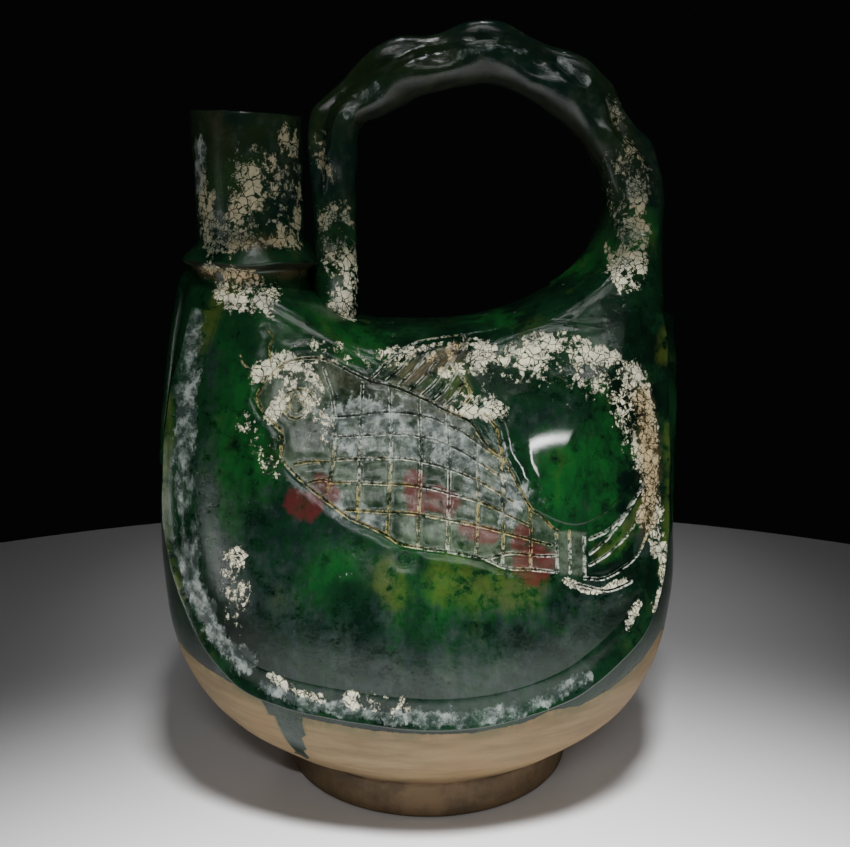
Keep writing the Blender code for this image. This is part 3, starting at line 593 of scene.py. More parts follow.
TAIL_LINES = (
    ((46, 117.4), (46.2, 103.8)), ((50.7, 116.8), (50.9, 103)), ((56.2, 115), (56.4, 101.2)),
    ((58.5, 113.8), (67.3, 117), (76.9, 126.4), (80.7, 131.8)),
    ((58.4, 108.8), (65.3, 113.4), (72.5, 120.5), (79.4, 130)),
    ((58.4, 104.8), (65.3, 107.9), (73.3, 113.5), (79.9, 121.2)),
    ((56.5, 100.2), (65.3, 99.5), (77.1, 104.7), (81.9, 113.1)),
    ((53.9, 98.4), (65.4, 94.7), (75.1, 95.9)),
)
FIN_LINES = (
    ((-20.6, 168.6), (-11.5, 176.2), (-4, 179.9), (5, 181.2), (13.9, 182.3)),
    ((13.9, 182.3), (13.7, 178.7), (9.1, 173.3), (13.5, 167.5), (15.6, 162.1), (11.1, 157.5)),
    ((-15.4, 167.2), (-10, 171.6), (-4.6, 176.6)), ((-10.6, 166), (-5, 170.6), (0.6, 176.4)),
    ((-6.2, 164.2), (-1, 168.8), (4.8, 175.2)), ((-2, 162.6), (3, 167), (8.6, 174)),
    ((2.2, 160.8), (6.6, 164.6), (10.6, 170.2)), ((6.4, 159), (9.6, 161.8), (12.6, 166)),
    ((20.7, 108.8), (28.9, 110.6), (38.2, 109.3), (45.1, 109)),
)
WATER_LINES = (
    ((13.9, 182.3), (24.7, 184.7), (42.4, 188), (64.4, 187.1)),
    ((38.4, 124.2), (49.6, 119.2), (58.5, 119.3), (67.3, 124.4), (76.9, 133.2)),
)
EYE = (-47.5, 159.8)
CURLS = (((-57.7, 137.9), 2.7), ((-8.1, 108.6), 2.6))
GROOVE_DEPTH = 0.80
GROOVE_HALF_WIDTH = 0.38
GROOVE_REACH = 0.004
BURR = 0.36
BURR_OFFSET = 1.9
BURR_HALF_WIDTH = 0.8
FINE_BANDS = (0.0036, 0.0019, 0.0010)
FINEST_EDGE = 0.0003
FRONT = -0.015
# The smooth roundel inside the curl of water, a little raised, and the low cushions of clay
# between the lines.
ROUNDEL = (0.0505, 0.1462)
ROUNDEL_RADIUS = 0.027
ROUNDEL_RISE = 0.0005
CUSHION = 0.0006
CUSHION_REACH = 0.007
CREST_GRAIN = 0.00045
# How much the hand waves are damped on the roundel, and where that ends, in shares of its radius.
DAMPING = 0.9
DAMPED_TO = 1.25


def ringed(centre, radius, turns=1.0, inner=1.0):
    """A ring or a spiral, as points (x, z)."""
    steps = int(16 * turns)
    points = []
    for i in range(steps + 1):
        turn = i / steps * turns * 2 * pi
        reach = radius * mix(1.0, inner, i / steps)
        points.append((centre[0] + reach * cos(turn), centre[1] + reach * sin(turn)))
    return points


grooves = [(HEAD_LINE, 1.0), (BACK_LINE, 1.15), (FLANK_LINE, 1.1), (BELLY_LINE, 0.9)]
grooves += [(line, 0.9) for line in FACE_LINES[:2] + TAIL_LINES + FIN_LINES]
grooves += [(line, 0.6) for line in FACE_LINES[2:]]
grooves += [(line, 0.8) for line in SCALE_ROWS + SCALE_BARS]
grooves += [(line, 0.45) for line in WATER_LINES]
grooves += [(ringed(EYE, 6.1, 2.2, 0.2), 0.8)]
grooves += [(ringed(centre, radius, 1.6, 0.3), 0.5) for centre, radius in CURLS]
groove_tree = KDTree(40000)
groove_depths = []
for line, depth in grooves:
    for x, z in drawn(line, 0.25) * MM:
        drift = noise.noise(Vector((x * 70, 0.4, z * 70))) * 0.0004
        point, _ = cast(pouch_tree, (x, -1.0, z + drift), (0, 1, 0))
        groove_tree.insert(point, len(groove_depths))
        groove_depths.append(depth)
groove_tree.balance()

drawn_mesh = bmesh.new()
drawn_mesh.from_mesh(flask.data)
for band in FINE_BANDS:
    fine = set()
    for face in drawn_mesh.faces:
        middle = face.calc_center_median()
        if middle.y < FRONT and groove_tree.find(middle)[2] < band:
            fine.update(edge for edge in face.edges if edge.calc_length() > FINEST_EDGE)
    bmesh.ops.subdivide_edges(drawn_mesh, edges=list(fine), cuts=1, use_grid_fill=True)

drawn_mesh.normal_update()
pushed = []
for vertex in drawn_mesh.verts:
    height = vertex.co.z
    lift = 0.0
    for scale, depth in HAND_WAVES:
        lift += depth * noise.noise(vertex.co * scale)
    lift *= ease((height - 0.003) / 0.012)
    if height > 0.215 and vertex.co.x > -0.045:
        lift += CREST_GRAIN * noise.noise(vertex.co * 110)
    if vertex.co.y < FRONT:
        off_middle = hypot(vertex.co.x - ROUNDEL[0], height - ROUNDEL[1]) / ROUNDEL_RADIUS
        lift *= 1 - DAMPING * ease((DAMPED_TO - off_middle) / 0.5)
        lift += ROUNDEL_RISE * max(1 - off_middle**2, 0.0) ** 2
        _, index, distance = groove_tree.find(vertex.co)
        if distance < GROOVE_REACH:
            off = distance / MM / GROOVE_HALF_WIDTH
            depth = groove_depths[index] * (1 + 0.3 * noise.noise(vertex.co * 400))
            burr = BURR * np.exp(-((off - BURR_OFFSET) / BURR_HALF_WIDTH) ** 2)
            lift += depth * GROOVE_DEPTH * MM * (burr - np.exp(-(off**2)))
            lift += CUSHION * depth * ease(distance / GROOVE_REACH)
        else:
            fall = (CUSHION_REACH - distance) / (CUSHION_REACH - GROOVE_REACH)
            lift += CUSHION * groove_depths[index] * ease(fall)
    pushed.append(vertex.co + vertex.normal * lift)
for vertex, place in zip(drawn_mesh.verts, pushed):
    vertex.co = place
drawn_mesh.to_mesh(flask.data)
drawn_mesh.free()

# The glaze: green lead glaze poured over the upper part and let run, over clay that fired to a
# buff colour. Long burial has turned it silvery and blue-grey in places, and it has crazed and
# flaked to the cream slip; the silver strokes also serve as painted highlight on the ridges,
# the crest and the fish. The foot and the bottom of the belly were left bare. Each kind of
# patch is brushed on as strokes (half width, points), in millimetres on the front or the back.
FLAKED = (
    (6.5, ((-74, 201), (-62, 198))), (2.2, ((-86, 206), (-80, 208))),
    (3.4, ((-34.4, 214), (-32.9, 202), (-31, 190))), (3, ((-84, 217), (-70, 215.6), (-56, 217))),
    (3.4, ((-60.7, 170.2), (-52.6, 175.3), (-45, 174))), (2.6, ((-57, 156), (-50, 168))),
    (2.2, ((6, 170), (11, 172))), (2.2, ((14, 157), (20, 156.5))),
    (4.6, ((18, 175), (26.4, 176.3), (36.4, 175.2), (44.2, 177.2))),
    (3.6, ((48, 179.2), (58.1, 178.8), (67.2, 175.1), (73, 171))),
    (3.8, ((74.9, 171.3), (79.6, 160.2), (82.8, 147), (83.2, 132), (81, 120))),
    (3.6, ((77.5, 238), (77.5, 228.5), (75, 214.4), (71, 208.8))), (1.7, ((71.4, 268), (73.4, 264))),
    (2, ((-68.8, 101), (-69.8, 87))), (1.8, ((73.9, 80), (77.7, 86))),
    (1.4, ((85, 84), (88, 94), (88.6, 106))), (1.2, ((84, 118), (83, 108))),
    (1.8, ((-57, 65), (-45.9, 60.5), (-38, 59.4))), (1.3, ((50, 100), (60, 95.4), (72, 97))),
)
SPARSE = (
    (9, ((-80, 226), (-66, 224), (-56, 230))), (6, ((-66, 246), (-58, 240))),
    (4.4, ((-51.9, 256), (-50.5, 236), (-51.6, 217))), (2.4, ((-85, 243), (-84, 226))),
    (5.6, ((-36, 226), (-33, 210), (-31, 194))), (3.4, ((-41, 254), (-38.6, 240))),
    (3.4, ((-47.3, 177.6), (-32.8, 177), (-17.9, 175.4), (-2.9, 176.7), (10.3, 178))),
    (4, ((-44, 166), (-38, 150))), (3, ((-66, 154), (-60, 145), (-56, 138))),
    (5.6, ((14, 176), (30, 172), (48, 172), (62, 170))), (3, ((20, 178), (50, 182))),
    (5, ((70, 168), (76, 154), (79, 140))), (3.6, ((10, 160), (24, 158))),
    (6.4, ((77.4, 248), (77.5, 230.5), (74, 206.8))), (3.2, ((70, 270), (76, 256))),
    (4.4, ((-68.8, 106), (-69.8, 83))), (3, ((-26, 60), (-10, 58))), (3.4, ((84, 124), (85, 106))),
    (3, ((-76, 196), (-60, 193))),
)
FLAKED_BACK = (
    (7, ((-72, 202), (-56, 192))), (8, ((-78, 232), (-60, 224))),
    (5, ((-30, 178), (-6, 172), (30, 177))), (7, ((58, 180), (77, 160), (82, 128))),
    (6, ((77, 246), (74, 212))), (4.6, ((-36, 226), (-31, 195))), (6, ((-74, 156), (-56, 138))),
    (4, ((16, 62), (46, 70))), (8, ((-14, 132), (14, 116))), (4.4, ((-90, 120), (-84, 92))),
)
# Silvery weathering and painted highlight at once: these strokes lie along the seam strips' ridges, over
# the fish's upper scales and on the crest, where they stand in for glints.
SILVERED_AND_GLINTS = (
    (4.4, ((-88, 188), (-90, 160), (-91.5, 134), (-88.5, 101.5), (-80, 81), (-66, 68))),
    (2.4, ((-60, 61), (-46, 57.5), (-17, 55), (11, 53.6), (36, 56.5), (58, 65))),
    (9.5, ((-34, 153), (-10, 150), (16, 143), (26, 130))), (3.4, ((-42, 131), (-30, 125), (-18, 121))),
    (4, ((-88, 238), (-86, 250))), (1.6, ((-30, 264), (-20, 274))),
    (1.6, ((12, 285), (24, 288), (36, 287))), (1.4, ((50, 284), (60, 276))),
)
BLUED = (
    (15, ((-54, 118), (-58, 92), (-36, 78), (0, 74), (34, 76))),
    (6, ((-82, 180), (-80, 160), (-80, 120), (-72, 92))), (6, ((-46, 144), (-30, 118))),
    (3.5, ((-46, 50.5), (-17, 48.6), (11, 48.6), (40, 51), (58, 60))), (12, ((30, 92), (58, 92))),
    (6, ((-16, 106), (-16, 90))), (7, ((-100, 95), (-94, 76), (-84, 62))),
    (7, ((93, 92), (90, 72), (80, 58))), (9, ((32, 152), (48, 158))), (5, ((74, 118), (82, 108))),
)
# The vivid strokes mark where the glaze ran thin; the stroke along the saddle's top, from 0 to 30 mm at 187
# to 190 mm, is painted light that stands in for the light falling on the top.
VIVID_AND_LIT_TOP = (
    (9, ((-48, 190), (-34, 187), (-26, 180))), (14, ((-4, 96), (2, 104))), (19, ((58, 146), (54, 134))),
    (9, ((-66, 160), (-62, 130))), (7, ((-78, 180), (-77, 150), (-74, 118))),
    (6, ((0, 190), (30, 187))), (5, ((-78, 240), (-66, 246))), (9, ((20, 98), (48, 94))),
    (7, ((-34, 106), (-40, 98))), (5, ((66, 108), (78, 120))), (6, ((56, 206), (84, 222))),
)
YELLOWED = (
    (5, ((-14, 103), (-10, 98))), (6, ((4, 103), (18, 101.5), (34, 99))), (4, ((12, 112), (28, 110))),
    (2.6, ((62, 108), (72, 113), (79, 123))),
    (1.6, ((-97.4, 165), (-98.6, 140), (-99.4, 118), (-97, 100), (-92, 86))),
    (3.4, ((-86, 180), (-80, 194), (-72, 199))), (3, ((89, 176), (89.6, 186))),
    (5.6, ((-8, 169), (3, 173), (10, 168))), (2.6, ((-44, 250), (-42, 262))),
    (1.6, ((88, 96), (91, 120), (90, 150))),
)
REDDENED = (
    (4.8, ((-47, 127), (-42, 125.8))), (3.4, ((-38, 133.6), (-35, 130))),
    (3.6, ((-5, 134.6), (-4, 126))), (4.6, ((3, 128.6), (7, 127))), (3.2, ((14, 118), (22, 116.6))),
    (6.6, ((37, 105.6), (38.6, 107.4))), (2.6, ((32, 114), (34, 118))),
)
BROWNED = (
    (4, ((-36, 170), (-21, 163.6), (-4, 159.4), (10, 152.4))), (4, ((-78, 262), (-76, 254))),
    (2.6, ((-92, 207), (-78, 205), (-60, 204.6), (-48, 206))), (3.4, ((-8, 168), (4, 174), (11, 178))),
    (2.4, ((-74, 218), (-58, 217))), (5, ((79, 160), (83, 138), (82, 118))),
)
# The lower edge of the glaze: turn in degrees from +X, and height in millimetres.
GLAZE_EDGE = (
    (-180, 62), (-168, 58), (-160, 62), (-152, 60.5), (-143, 58), (-130, 51.5), (-120, 49), (-104, 47),
    (-90, 46.4), (-76, 46.4), (-64, 48.4), (-58, 52), (-50, 51), (-42, 54), (-30, 61), (-22, 68),
    (0, 60), (24, 64), (44, 52), (70, 47), (100, 46), (128, 50), (150, 60), (166, 57), (180, 62),
)
DRIPS = (
    (6.4, ((-55, 56), (-52.6, 50))), (5.4, ((-52.4, 48), (-50.6, 42))), (4.4, ((-50.4, 42), (-49, 34))),
    (3, ((-49, 34), (-47.6, 27))),
)
# How deep a stroke of whole flakes, and of scattered ones, can lie, how wide the glaze's lower
# edge and the fish's edge are, and from what height the underside of the handle gets painted shade.
WHOLE_FLAKES = 0.62
SCATTERED_FLAKES = 0.47
GLAZE_EDGE_WIDTH = 0.012
FISH_EDGE_WIDTH = 0.004
UNDERSIDE_FROM = 0.205
# The colours, as linear red, green and blue.
DEEP_GREEN = (0.0018, 0.007, 0.0042)
MIDDLE_GREEN = (0.0042, 0.023, 0.009)
CLOUD_GREEN = (0.006, 0.038, 0.013)
VIVID_GREEN = (0.0075, 0.064, 0.012)
BLUE_BLACK = (0.004, 0.01, 0.009)
BLUE_GREY = (0.02, 0.034, 0.029)
YELLOW_GREEN = (0.064, 0.09, 0.014)
GLAZE_BROWN = (0.06, 0.044, 0.022)
PALE_SPECK = (0.024, 0.04, 0.032)
DARK_BLOTCH = (0.002, 0.007, 0.004)
UPPER_BLUE = (0.005, 0.015, 0.0125)
UPPER_OLIVE = (0.013, 0.019, 0.008)
UPPER_GREY = (0.03, 0.038, 0.03)
# Painted shade with a thin brown coat, for the underside of the handle's arch.
UNDERSIDE_SHADE_DARK = (0.002, 0.0034, 0.0016)
UNDERSIDE_SHADE_BROWN = (0.015, 0.0165, 0.008)
THIN_DARK = (0.01, 0.021, 0.011)
THIN_GREY = (0.1, 0.125, 0.09)
SILVER_DARK = (0.036, 0.05, 0.047)
SILVER_PALE_AND_GLINT = (0.4, 0.45, 0.42)
IRON_RED = (0.088, 0.013, 0.015)
# Painted shade for the grooves, and painted highlight with wear for the burrs.
GROOVE_SHADE = (0.004, 0.008, 0.005)
BURR_WHITE_HIGHLIGHT = (0.56, 0.6, 0.52)
BURR_OCHRE = (0.42, 0.36, 0.15)
SLIP_GREY = (0.44, 0.43, 0.34)
SLIP_CREAM = (0.9, 0.85, 0.6)
SLIP_WORN = (0.47, 0.47, 0.42)
SLIP_OCHRE = (0.4, 0.265, 0.1)
UPPER_SLIP_GREY = (0.07, 0.09, 0.064)
UPPER_SLIP_OCHRE = (0.23, 0.2, 0.115)
CLAY_DARK = (0.155, 0.108, 0.052)
CLAY_BUFF = (0.235, 0.17, 0.086)
CLAY_SPECK = (0.15, 0.1, 0.05)
CLAY_ORANGE = (0.23, 0.13, 0.055)
CLAY_STAIN = (0.11, 0.106, 0.048)
FOOT_DARK = (0.038, 0.021, 0.009)
FOOT_BROWN = (0.135, 0.086, 0.042)

flask_tree = BVHTree.FromObject(flask, bpy.context.evaluated_depsgraph_get())
places = np.empty(len(flask.data.vertices) * 3, dtype=np.float32)
flask.data.vertices.foreach_get("co", places)
places = places.reshape(-1, 3).astype(float)


def brushed(strokes, side=-1):
    """How deep each point lies in the strokes: 1 on their line, 0.5 at their half width."""
    depth = np.zeros(len(places))
    for half_width, points in strokes:
        seats = []
        for x, z in drawn(points, 2.0) * MM:
            point, _ = cast(flask_tree, (x, side, z), (0, -side, 0))
            if point is not None:
                seats.append(point)
        reach = np.full(len(places), 1.0)
        for start, end in zip(seats, seats[1:] or seats):
            start, span = np.array(start), np.array(end - start)
            t = np.clip((places - start) @ span / max(span @ span, 1e-12), 0.0, 1.0)
            reach = np.minimum(reach, np.linalg.norm(places - start - t[:, None] * span, axis=1))
        depth = np.maximum(depth, 1 - reach / (2 * half_width * MM))
    return depth


def marked(name, values):
    attribute = flask.data.attributes.new(name, "FLOAT", "POINT")
    attribute.data.foreach_set("value", np.clip(values, 0.0, 1.0).astype(np.float32))


nearest = [groove_tree.find(place) for place in places]
incised = np.array([1 - distance / MM / 1.6 for _, _, distance in nearest])
incised *= np.array([min(groove_depths[index] / 0.8, 1.0) for _, index, _ in nearest])
# The fish's body is inside its outline, found by how often a level line crosses the outline.
outline = HEAD_LINE + BACK_LINE + FLANK_LINE[3:] + ((57.0, 116.0), (57.0, 101.0)) + BELLY_LINE[::-1]
outline = np.array(outline + FACE_LINES[0][::-1][:-1]) * MM
crossed = np.zeros(len(places), dtype=bool)
edge_near = np.full(len(places), 1.0)
flat = places[:, [0, 2]]
for start, end in zip(outline, np.roll(outline, -1, axis=0)):
    between_ends = (flat[:, 1] > start[1]) != (flat[:, 1] > end[1])
    rise = end[1] - start[1] or 1e-9
    crossing = start[0] + (flat[:, 1] - start[1]) / rise * (end[0] - start[0])
    crossed ^= between_ends & (flat[:, 0] < crossing)
    span = end - start
    t = np.clip((flat - start) @ span / max(span @ span, 1e-12), 0.0, 1.0)
    edge_near = np.minimum(edge_near, np.linalg.norm(flat - start - t[:, None] * span, axis=1))
fish_body = 0.5 + np.where(crossed, edge_near, -edge_near) / FISH_EDGE_WIDTH
on_front = places[:, 1] < FRONT

turns = np.degrees(np.arctan2(places[:, 1], places[:, 0]))
glaze_edge = np.interp(turns, *np.array(GLAZE_EDGE).T) * MM
below = (glaze_edge - places[:, 2]) / GLAZE_EDGE_WIDTH + 0.5
below = np.where(brushed(DRIPS) > 0.5, -1.0, below)
marked("bare", below)
scattered = np.minimum(np.maximum(brushed(SPARSE), brushed(FLAKED_BACK, 1)), SCATTERED_FLAKES)
marked("flaked", np.maximum(np.minimum(brushed(FLAKED), WHOLE_FLAKES), scattered))
marked("silvered_and_glints", brushed(SILVERED_AND_GLINTS))
marked("blued", np.maximum(brushed(BLUED), brushed(DRIPS) * 1.4))
marked("vivid", brushed(VIVID_AND_LIT_TOP))
marked("yellowed", brushed(YELLOWED))
marked("reddened", brushed(REDDENED))
marked("browned", brushed(BROWNED))
marked("incised", np.where(on_front, incised, 0.0))
marked("fish", np.where(on_front, fish_body, 0.0))
off_roundel = np.hypot(flat[:, 0] - ROUNDEL[0], flat[:, 1] - ROUNDEL[1]) / ROUNDEL_RADIUS
marked("glassy", np.where(on_front, 1.5 - off_roundel, 0.0))
# The handle's underside: faces that point down, high up, get painted shade over their thin brown coat.
facing = np.empty(len(flask.data.vertices) * 3, dtype=np.float32)
flask.data.vertex_normals.foreach_get("vector", facing)
facing_down_for_shade = 0.1 - facing.reshape(-1, 3)[:, 2]
marked("underside", np.where(places[:, 2] > UNDERSIDE_FROM, facing_down_for_shade, 0.0))

glaze = bpy.data.materials.new("green_lead_glaze")
glaze.use_nodes = True
glaze_tree = glaze.node_tree
shader = glaze_tree.nodes["Principled BSDF"]
shader.inputs["Specular IOR Level"].default_value = 0.30


def node(kind, *inputs, **settings):
    """A shader node: settings are its options, inputs are values or sockets, in its order."""
    made = glaze_tree.nodes.new("ShaderNode" + kind)
    for name, value in settings.items():
        setattr(made, name, value)
    for socket, value in inputs:
        if isinstance(value, bpy.types.NodeSocket):
            glaze_tree.links.new(value, made.inputs[socket])
        else:
            made.inputs[socket].default_value = value
    return made


def maths(operation, a, b, clamp=False):
    made = node("Math", (0, a), (1, b), operation=operation, use_clamp=clamp)
    return made.outputs[0]


def plus(a, b, clamp=False):
    return maths("ADD", a, b, clamp)


def less(a, b):
    return maths("SUBTRACT", a, b)


def blend(share, under, over):
    """One colour laid over another by a share: each is a named colour or a socket."""
    inputs = [value + (1.0,) if isinstance(value, tuple) else value for value in (under, over)]
    made = node("Mix", (0, share), (6, inputs[0]), (7, inputs[1]), data_type="RGBA")
    return made.outputs[2]


def grain(scale, detail=4.0, roughness=0.6, on=None):
    made = node(
        "TexNoise", ("Vector", on or on_object), ("Scale", scale), ("Detail", detail),
        ("Roughness", roughness),
    )
    return made.outputs["Fac"]


def rising(value, low, high):
    """A smooth step: 0 below the low value and 1 above the high one."""
    made = node("MapRange", (0, value), (1, low), (2, high), interpolation_type="SMOOTHSTEP")
    return made.outputs[0]


def times(*shares):
    product = shares[0]
    for share in shares[1:]:
        product = maths("MULTIPLY", product, share)
    return product


def mark(name):
    return node("Attribute", attribute_name=name).outputs["Fac"]


def patch(name, rough, amount, softness):
    """A brushed patch with a broken edge: 0 outside and 1 inside."""
    depth = mark(name)
    wander = times(less(rough, 0.5), amount)
    return rising(plus(depth, wander), 0.5 - softness, 0.5 + softness)


on_object = node("TexCoord").outputs["Object"]
height = node("SeparateXYZ", (0, on_object)).outputs["Z"]


def stretched(level, upright):
    scale = (level, level, upright)
    return node("Mapping", ("Vector", on_object), ("Scale", scale)).outputs[0]


downward = stretched(1.0, 0.34)
round_it = stretched(0.35, 2.6)
cloud = grain(17.0, 4.0, 0.6)
mottle = grain(58.0, 8.0, 0.68)
runs = grain(90.0, 6.0, 0.66, downward)
spots = grain(190.0, 8.0, 0.74)
specks = grain(760.0, 5.0, 0.75)
ragged = grain(120.0, 12.0, 0.80, stretched(1.0, 0.6))

# Depth of the green: where the glaze lay thick it is almost black, and where it ran thin, vivid; one vivid
# stroke on the saddle's top is painted light.
green = blend(rising(mottle, 0.36, 0.64), DEEP_GREEN, MIDDLE_GREEN)
green = blend(times(rising(cloud, 0.42, 0.68), 0.8), green, CLOUD_GREEN)
vivid_and_lit_share = times(patch("vivid", mottle, 3.2, 0.36), rising(runs, 0.3, 0.6))
green = blend(vivid_and_lit_share, green, VIVID_GREEN)
weathered = blend(rising(times(plus(runs, spots), 0.5), 0.42, 0.6), BLUE_BLACK, BLUE_GREY)
blue_share = times(patch("blued", mottle, 3.4, 0.26), rising(spots, 0.36, 0.56), 0.85)
green = blend(blue_share, green, weathered)
yellow_share = times(patch("yellowed", runs, 2.4, 0.42), rising(spots, 0.36, 0.56), 0.55)
green = blend(yellow_share, green, YELLOW_GREEN)
brown_share = times(patch("browned", spots, 2.2, 0.3), rising(mottle, 0.34, 0.55), 0.8)
green = blend(brown_share, green, GLAZE_BROWN)
green = blend(times(rising(specks, 0.6, 0.7), 0.4), green, PALE_SPECK)
green = blend(times(rising(less(1.0, spots), 0.53, 0.62), 0.6), green, DARK_BLOTCH)

# The handle and the spout took a thinner coat, bluish above; under the handle's arch the downward faces are
# painted dark brown, a thin brown coat with painted shade.
thinner = blend(rising(cloud, 0.4, 0.6), UPPER_BLUE, UPPER_OLIVE)
thinner = blend(times(rising(spots, 0.5, 0.62), 0.6), thinner, UPPER_GREY)
green = blend(times(rising(height, 0.205, 0.245), 0.75), green, thinner)
under_handle_brown_and_shade = patch("underside", mottle, 0.8, 0.22)
underneath_brown_and_shade = blend(rising(spots, 0.36, 0.6), UNDERSIDE_SHADE_DARK, UNDERSIDE_SHADE_BROWN)
green = blend(times(under_handle_brown_and_shade, 0.85), green, underneath_brown_and_shade)

# The fish was left with a thin glaze, which weathered to a translucent grey with red touches.
thin = blend(rising(times(plus(mottle, ragged), 0.5), 0.42, 0.58), THIN_DARK, THIN_GREY)
fish_share = times(patch("fish", spots, 0.9, 0.2), rising(spots, 0.32, 0.52), 0.8)
green = blend(fish_share, green, thin)
# The silver is silvery weathering and painted highlight at once: its pale part stands in for glints on the
# ridges, the crest and the fish's scales.
silver_and_glint = blend(rising(spots, 0.42, 0.66), SILVER_DARK, SILVER_PALE_AND_GLINT)
silver_and_glint_share = times(patch("silvered_and_glints", ragged, 3.2, 0.1), rising(runs, 0.34, 0.56), 0.75)
green = blend(silver_and_glint_share, green, silver_and_glint)
red_share = times(patch("reddened", spots, 0.9, 0.12), rising(spots, 0.26, 0.54), 0.68)
green = blend(red_share, green, IRON_RED)

# The drawn lines: the tool's groove is painted dark as shade, and its burrs carry pale beads, partly worn
# clay and partly painted highlight.
line_depth = mark("incised")
groove_shade_share = times(rising(line_depth, 0.76, 0.9), 0.9)
on_burr = times(rising(line_depth, 0.5, 0.6), less(1.0, rising(line_depth, 0.7, 0.82)))
highlight_beads = rising(plus(times(specks, 0.6), times(spots, 0.4)), 0.47, 0.55)
green = blend(groove_shade_share, green, GROOVE_SHADE)
burr_wear_and_highlight = blend(rising(cloud, 0.44, 0.56), BURR_WHITE_HIGHLIGHT, BURR_OCHRE)
green = blend(times(on_burr, highlight_beads, 0.9), green, burr_wear_and_highlight)

# The flaked places: the glaze crazed into small plates, and many fell off with the cream slip
# left bare under them. The cracks between them kept a thread of dark glaze.
crooked = node("TexNoise", ("Vector", on_object), ("Scale", 260.0), ("Detail", 3.0)).outputs["Color"]
crooked = node("VectorMath", (0, crooked), ("Scale", 0.003), operation="SCALE").outputs[0]
craze_on = node("VectorMath", (0, on_object), (1, crooked), operation="ADD").outputs[0]


def plates(scale, feature, output):
    made = node("TexVoronoi", ("Vector", craze_on), ("Scale", scale), feature=feature)
    return made.outputs[output]


big_cracks = rising(plates(290.0, "DISTANCE_TO_EDGE", "Distance"), 0.018, 0.05)
small_cracks = rising(plates(620.0, "DISTANCE_TO_EDGE", "Distance"), 0.03, 0.09)
one_plate = node("SeparateColor", (0, plates(620.0, "F1", "Color"))).outputs[0]
lost_plates = plus(times(less(ragged, 0.5), 2.6), times(less(one_plate, 0.5), 0.24))
cover = rising(plus(mark("flaked"), lost_plates), 0.48, 0.54)
flake_share = times(cover, big_cracks, maths("MAXIMUM", small_cracks, rising(mottle, 0.46, 0.52)))
slip = blend(rising(spots, 0.35, 0.6), SLIP_GREY, SLIP_CREAM)
slip = blend(times(rising(specks, 0.52, 0.62), 0.5), slip, SLIP_WORN)
slip = blend(times(patch("browned", mottle, 0.8, 0.3), 0.7), slip, SLIP_OCHRE)
upper_slip = blend(rising(mottle, 0.4, 0.6), UPPER_SLIP_GREY, UPPER_SLIP_OCHRE)
slip = blend(times(rising(height, 0.203, 0.215), 0.86), slip, upper_slip)
skin = blend(flake_share, green, slip)

# The bare clay: buff and wiped smooth, browner on the foot, stained where the glaze ran thin.
wiped_clay = grain(75.0, 6.0, 0.65, round_it)
clay = blend(rising(wiped_clay, 0.34, 0.66), CLAY_DARK, CLAY_BUFF)
clay = blend(times(rising(specks, 0.6, 0.68), 0.4), clay, CLAY_SPECK)
clay = blend(times(rising(cloud, 0.5, 0.66), 0.35), clay, CLAY_ORANGE)
on_foot = rising(less(0.0, height), -0.0215, -0.015)
clay = blend(times(on_foot, 0.8), clay, blend(rising(mottle, 0.36, 0.64), FOOT_DARK, FOOT_BROWN))
under_edge = less(1.0, rising(mark("bare"), 0.6, 0.95))
clay = blend(times(under_edge, rising(runs, 0.4, 0.56), 0.75), clay, CLAY_STAIN)
bare_share = patch("bare", spots, 0.22, 0.03)
skin = blend(bare_share, skin, clay)

# The gloss: glassy where the glaze is whole, dull where it has weathered, flaked or never was.
# The roundel's thick glaze is the smoothest.
thick = patch("glassy", mottle, 0.6, 0.14)
dull = plus(0.05, times(mottle, less(1.0, thick), 0.15))
dull = plus(dull, times(silver_and_glint_share, 0.16))
dull = plus(dull, times(under_handle_brown_and_shade, 0.3))
lost = maths("MAXIMUM", flake_share, bare_share)
dull = plus(dull, times(lost, 0.46), clamp=True)
relief = plus(times(mottle, 0.6), times(spots, 0.4))
relief = times(relief, less(1.0, times(thick, 0.94)))
relief = less(relief, times(flake_share, 0.5))
relief = plus(relief, times(plus(specks, wiped_clay), bare_share, 0.25))
bumps = node("Bump", ("Height", relief), ("Distance", 0.0006), ("Strength", 0.7))
glaze_tree.links.new(skin, shader.inputs["Base Color"])
glaze_tree.links.new(dull, shader.inputs["Roughness"])
glaze_tree.links.new(bumps.outputs[0], shader.inputs["Normal"])
flask.data.materials.clear()
flask.data.materials.append(glaze)

# The flask is set in the frame, over the middle of its own width and depth.
SHIFT = 0.0041
flask.data.transform(Matrix.Translation((SHIFT, 0.0, 0.0)))
flask.data.name = "flask_glazed"
flask.data.shade_smooth()
flask.data.set_sharp_from_angle(angle=radians(38))
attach(flask, "root")
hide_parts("flask")

# The studio: a pale floor, lit in front of the flask by a soft spot so that it falls back into
# the dark, a long soft box above the camera that draws the glint on the glaze, a small one
# overhead for the handle's crest, a weak one low on the left, and fills for the ends and the back.
FLOOR_RADIUS = 0.60
FLOOR_COLOUR = (0.80, 0.79, 0.80, 1.0)
ROOM_COLOUR = (0.0022, 0.0022, 0.0025, 1.0)
CAMERA_PLACE = (0.0031, -0.420, 0.2395)
CAMERA_PITCH = 13
SENSOR_WIDTH = 36.0
# The focal length and the width of the picture, in pixels.
FOCAL_LENGTH = 1050
PICTURE_WIDTH = 850
floor_mesh = bmesh.new()
bmesh.ops.create_circle(floor_mesh, cap_ends=True, segments=128, radius=FLOOR_RADIUS)
floor = piece("floor", floor_mesh)
floor.location = (0.0, -0.27, -0.0002)
paper = bpy.data.materials.new("paper")
paper.use_nodes = True
paper_shader = paper.node_tree.nodes["Principled BSDF"]
paper_shader.inputs["Base Color"].default_value = FLOOR_COLOUR
paper_shader.inputs["Roughness"].default_value = 0.75
floor.data.materials.append(paper)


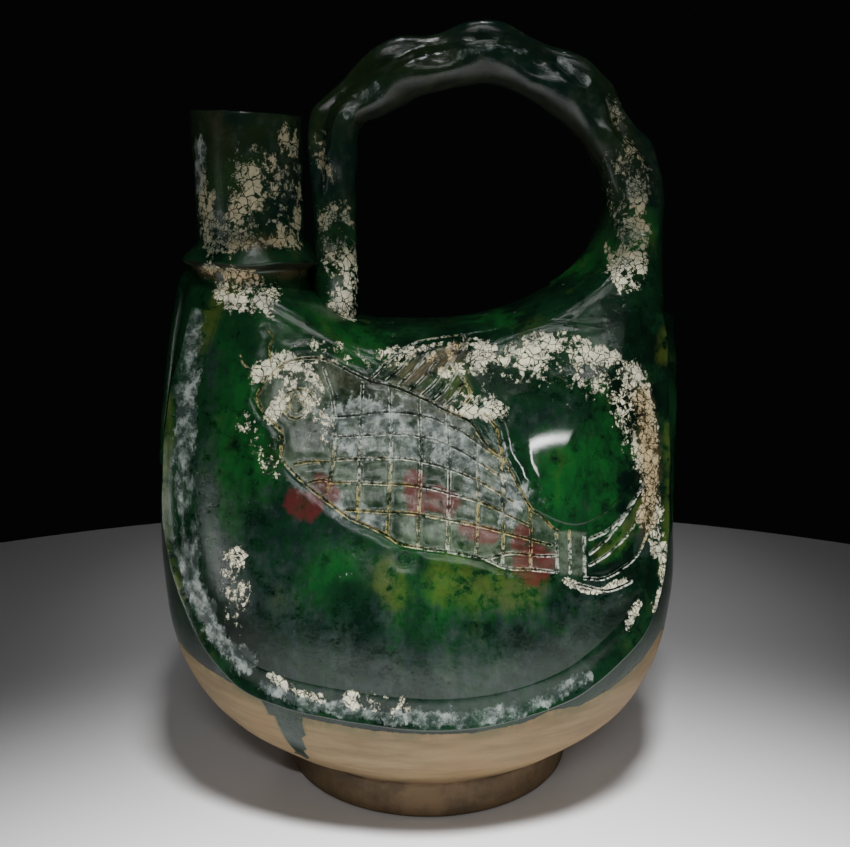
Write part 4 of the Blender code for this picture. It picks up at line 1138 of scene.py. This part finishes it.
def soft_box(name, place, aim, width, depth, power, spread, roll=0.0, seen=True):
    """A rectangular soft box with a grid before it, so that its light stays on the flask."""
    data = bpy.data.lights.new(name, "AREA")
    data.shape = "RECTANGLE"
    data.size, data.size_y = width, depth
    data.spread = radians(spread)
    data.energy = power
    lamp = bpy.data.objects.new(name, data)
    bpy.context.scene.collection.objects.link(lamp)
    lamp.location = place
    lamp.rotation_euler = (Vector(aim) - Vector(place)).to_track_quat("-Z", "Y").to_euler()
    lamp.rotation_euler.rotate_axis("Z", radians(roll))
    lamp.visible_camera = lamp.visible_glossy = seen


soft_box("glint", (0.03, -0.89, 0.76), (0.02, -0.05, 0.17), 0.56, 0.018, 0.170, 42, -20)
soft_box("crest", (0.02, -0.34, 0.90), (0.02, 0.0, 0.25), 0.05, 0.02, 0.045, 26)
soft_box("ridge", (-0.72, -0.38, 0.06), (-0.05, -0.03, 0.12), 0.07, 0.16, 0.016, 26)
soft_box("fill_back", (0.10, 1.10, 0.28), (0.0, 0.06, 0.18), 0.50, 0.30, 0.140, 22, seen=False)
soft_box("fill_right", (1.00, 0.10, 0.24), (0.05, 0.0, 0.18), 0.30, 0.30, 0.045, 22, seen=False)
soft_box("fill_left", (-1.00, 0.10, 0.24), (-0.05, 0.0, 0.18), 0.30, 0.30, 0.035, 22, seen=False)
spot_data = bpy.data.lights.new("spot", "SPOT")
spot_data.energy = 150.0
spot_data.spot_size = radians(41)
spot_data.spot_blend = 1.0
spot_data.shadow_soft_size = 0.08
spot = bpy.data.objects.new("spot", spot_data)
bpy.context.scene.collection.objects.link(spot)
spot.visible_glossy = False
spot.location = (0.07, -0.33, 1.00)
spot.rotation_euler = (Vector((0.03, -0.30, 0.0)) - spot.location).to_track_quat("-Z", "Y").to_euler()
world = bpy.data.worlds.new("room")
world.use_nodes = True
world.node_tree.nodes["Background"].inputs["Color"].default_value = ROOM_COLOUR
world.node_tree.nodes["Background"].inputs["Strength"].default_value = 1.0
bpy.context.scene.world = world

camera_data = bpy.data.cameras.new("camera")
camera_data.sensor_width = SENSOR_WIDTH
camera_data.lens = SENSOR_WIDTH * FOCAL_LENGTH / PICTURE_WIDTH
camera_data.clip_start = 0.01
camera = bpy.data.objects.new("camera", camera_data)
bpy.context.scene.collection.objects.link(camera)
camera.location = CAMERA_PLACE
camera.rotation_euler = (radians(90 - CAMERA_PITCH), 0.0, 0.0)
bpy.context.scene.camera = camera
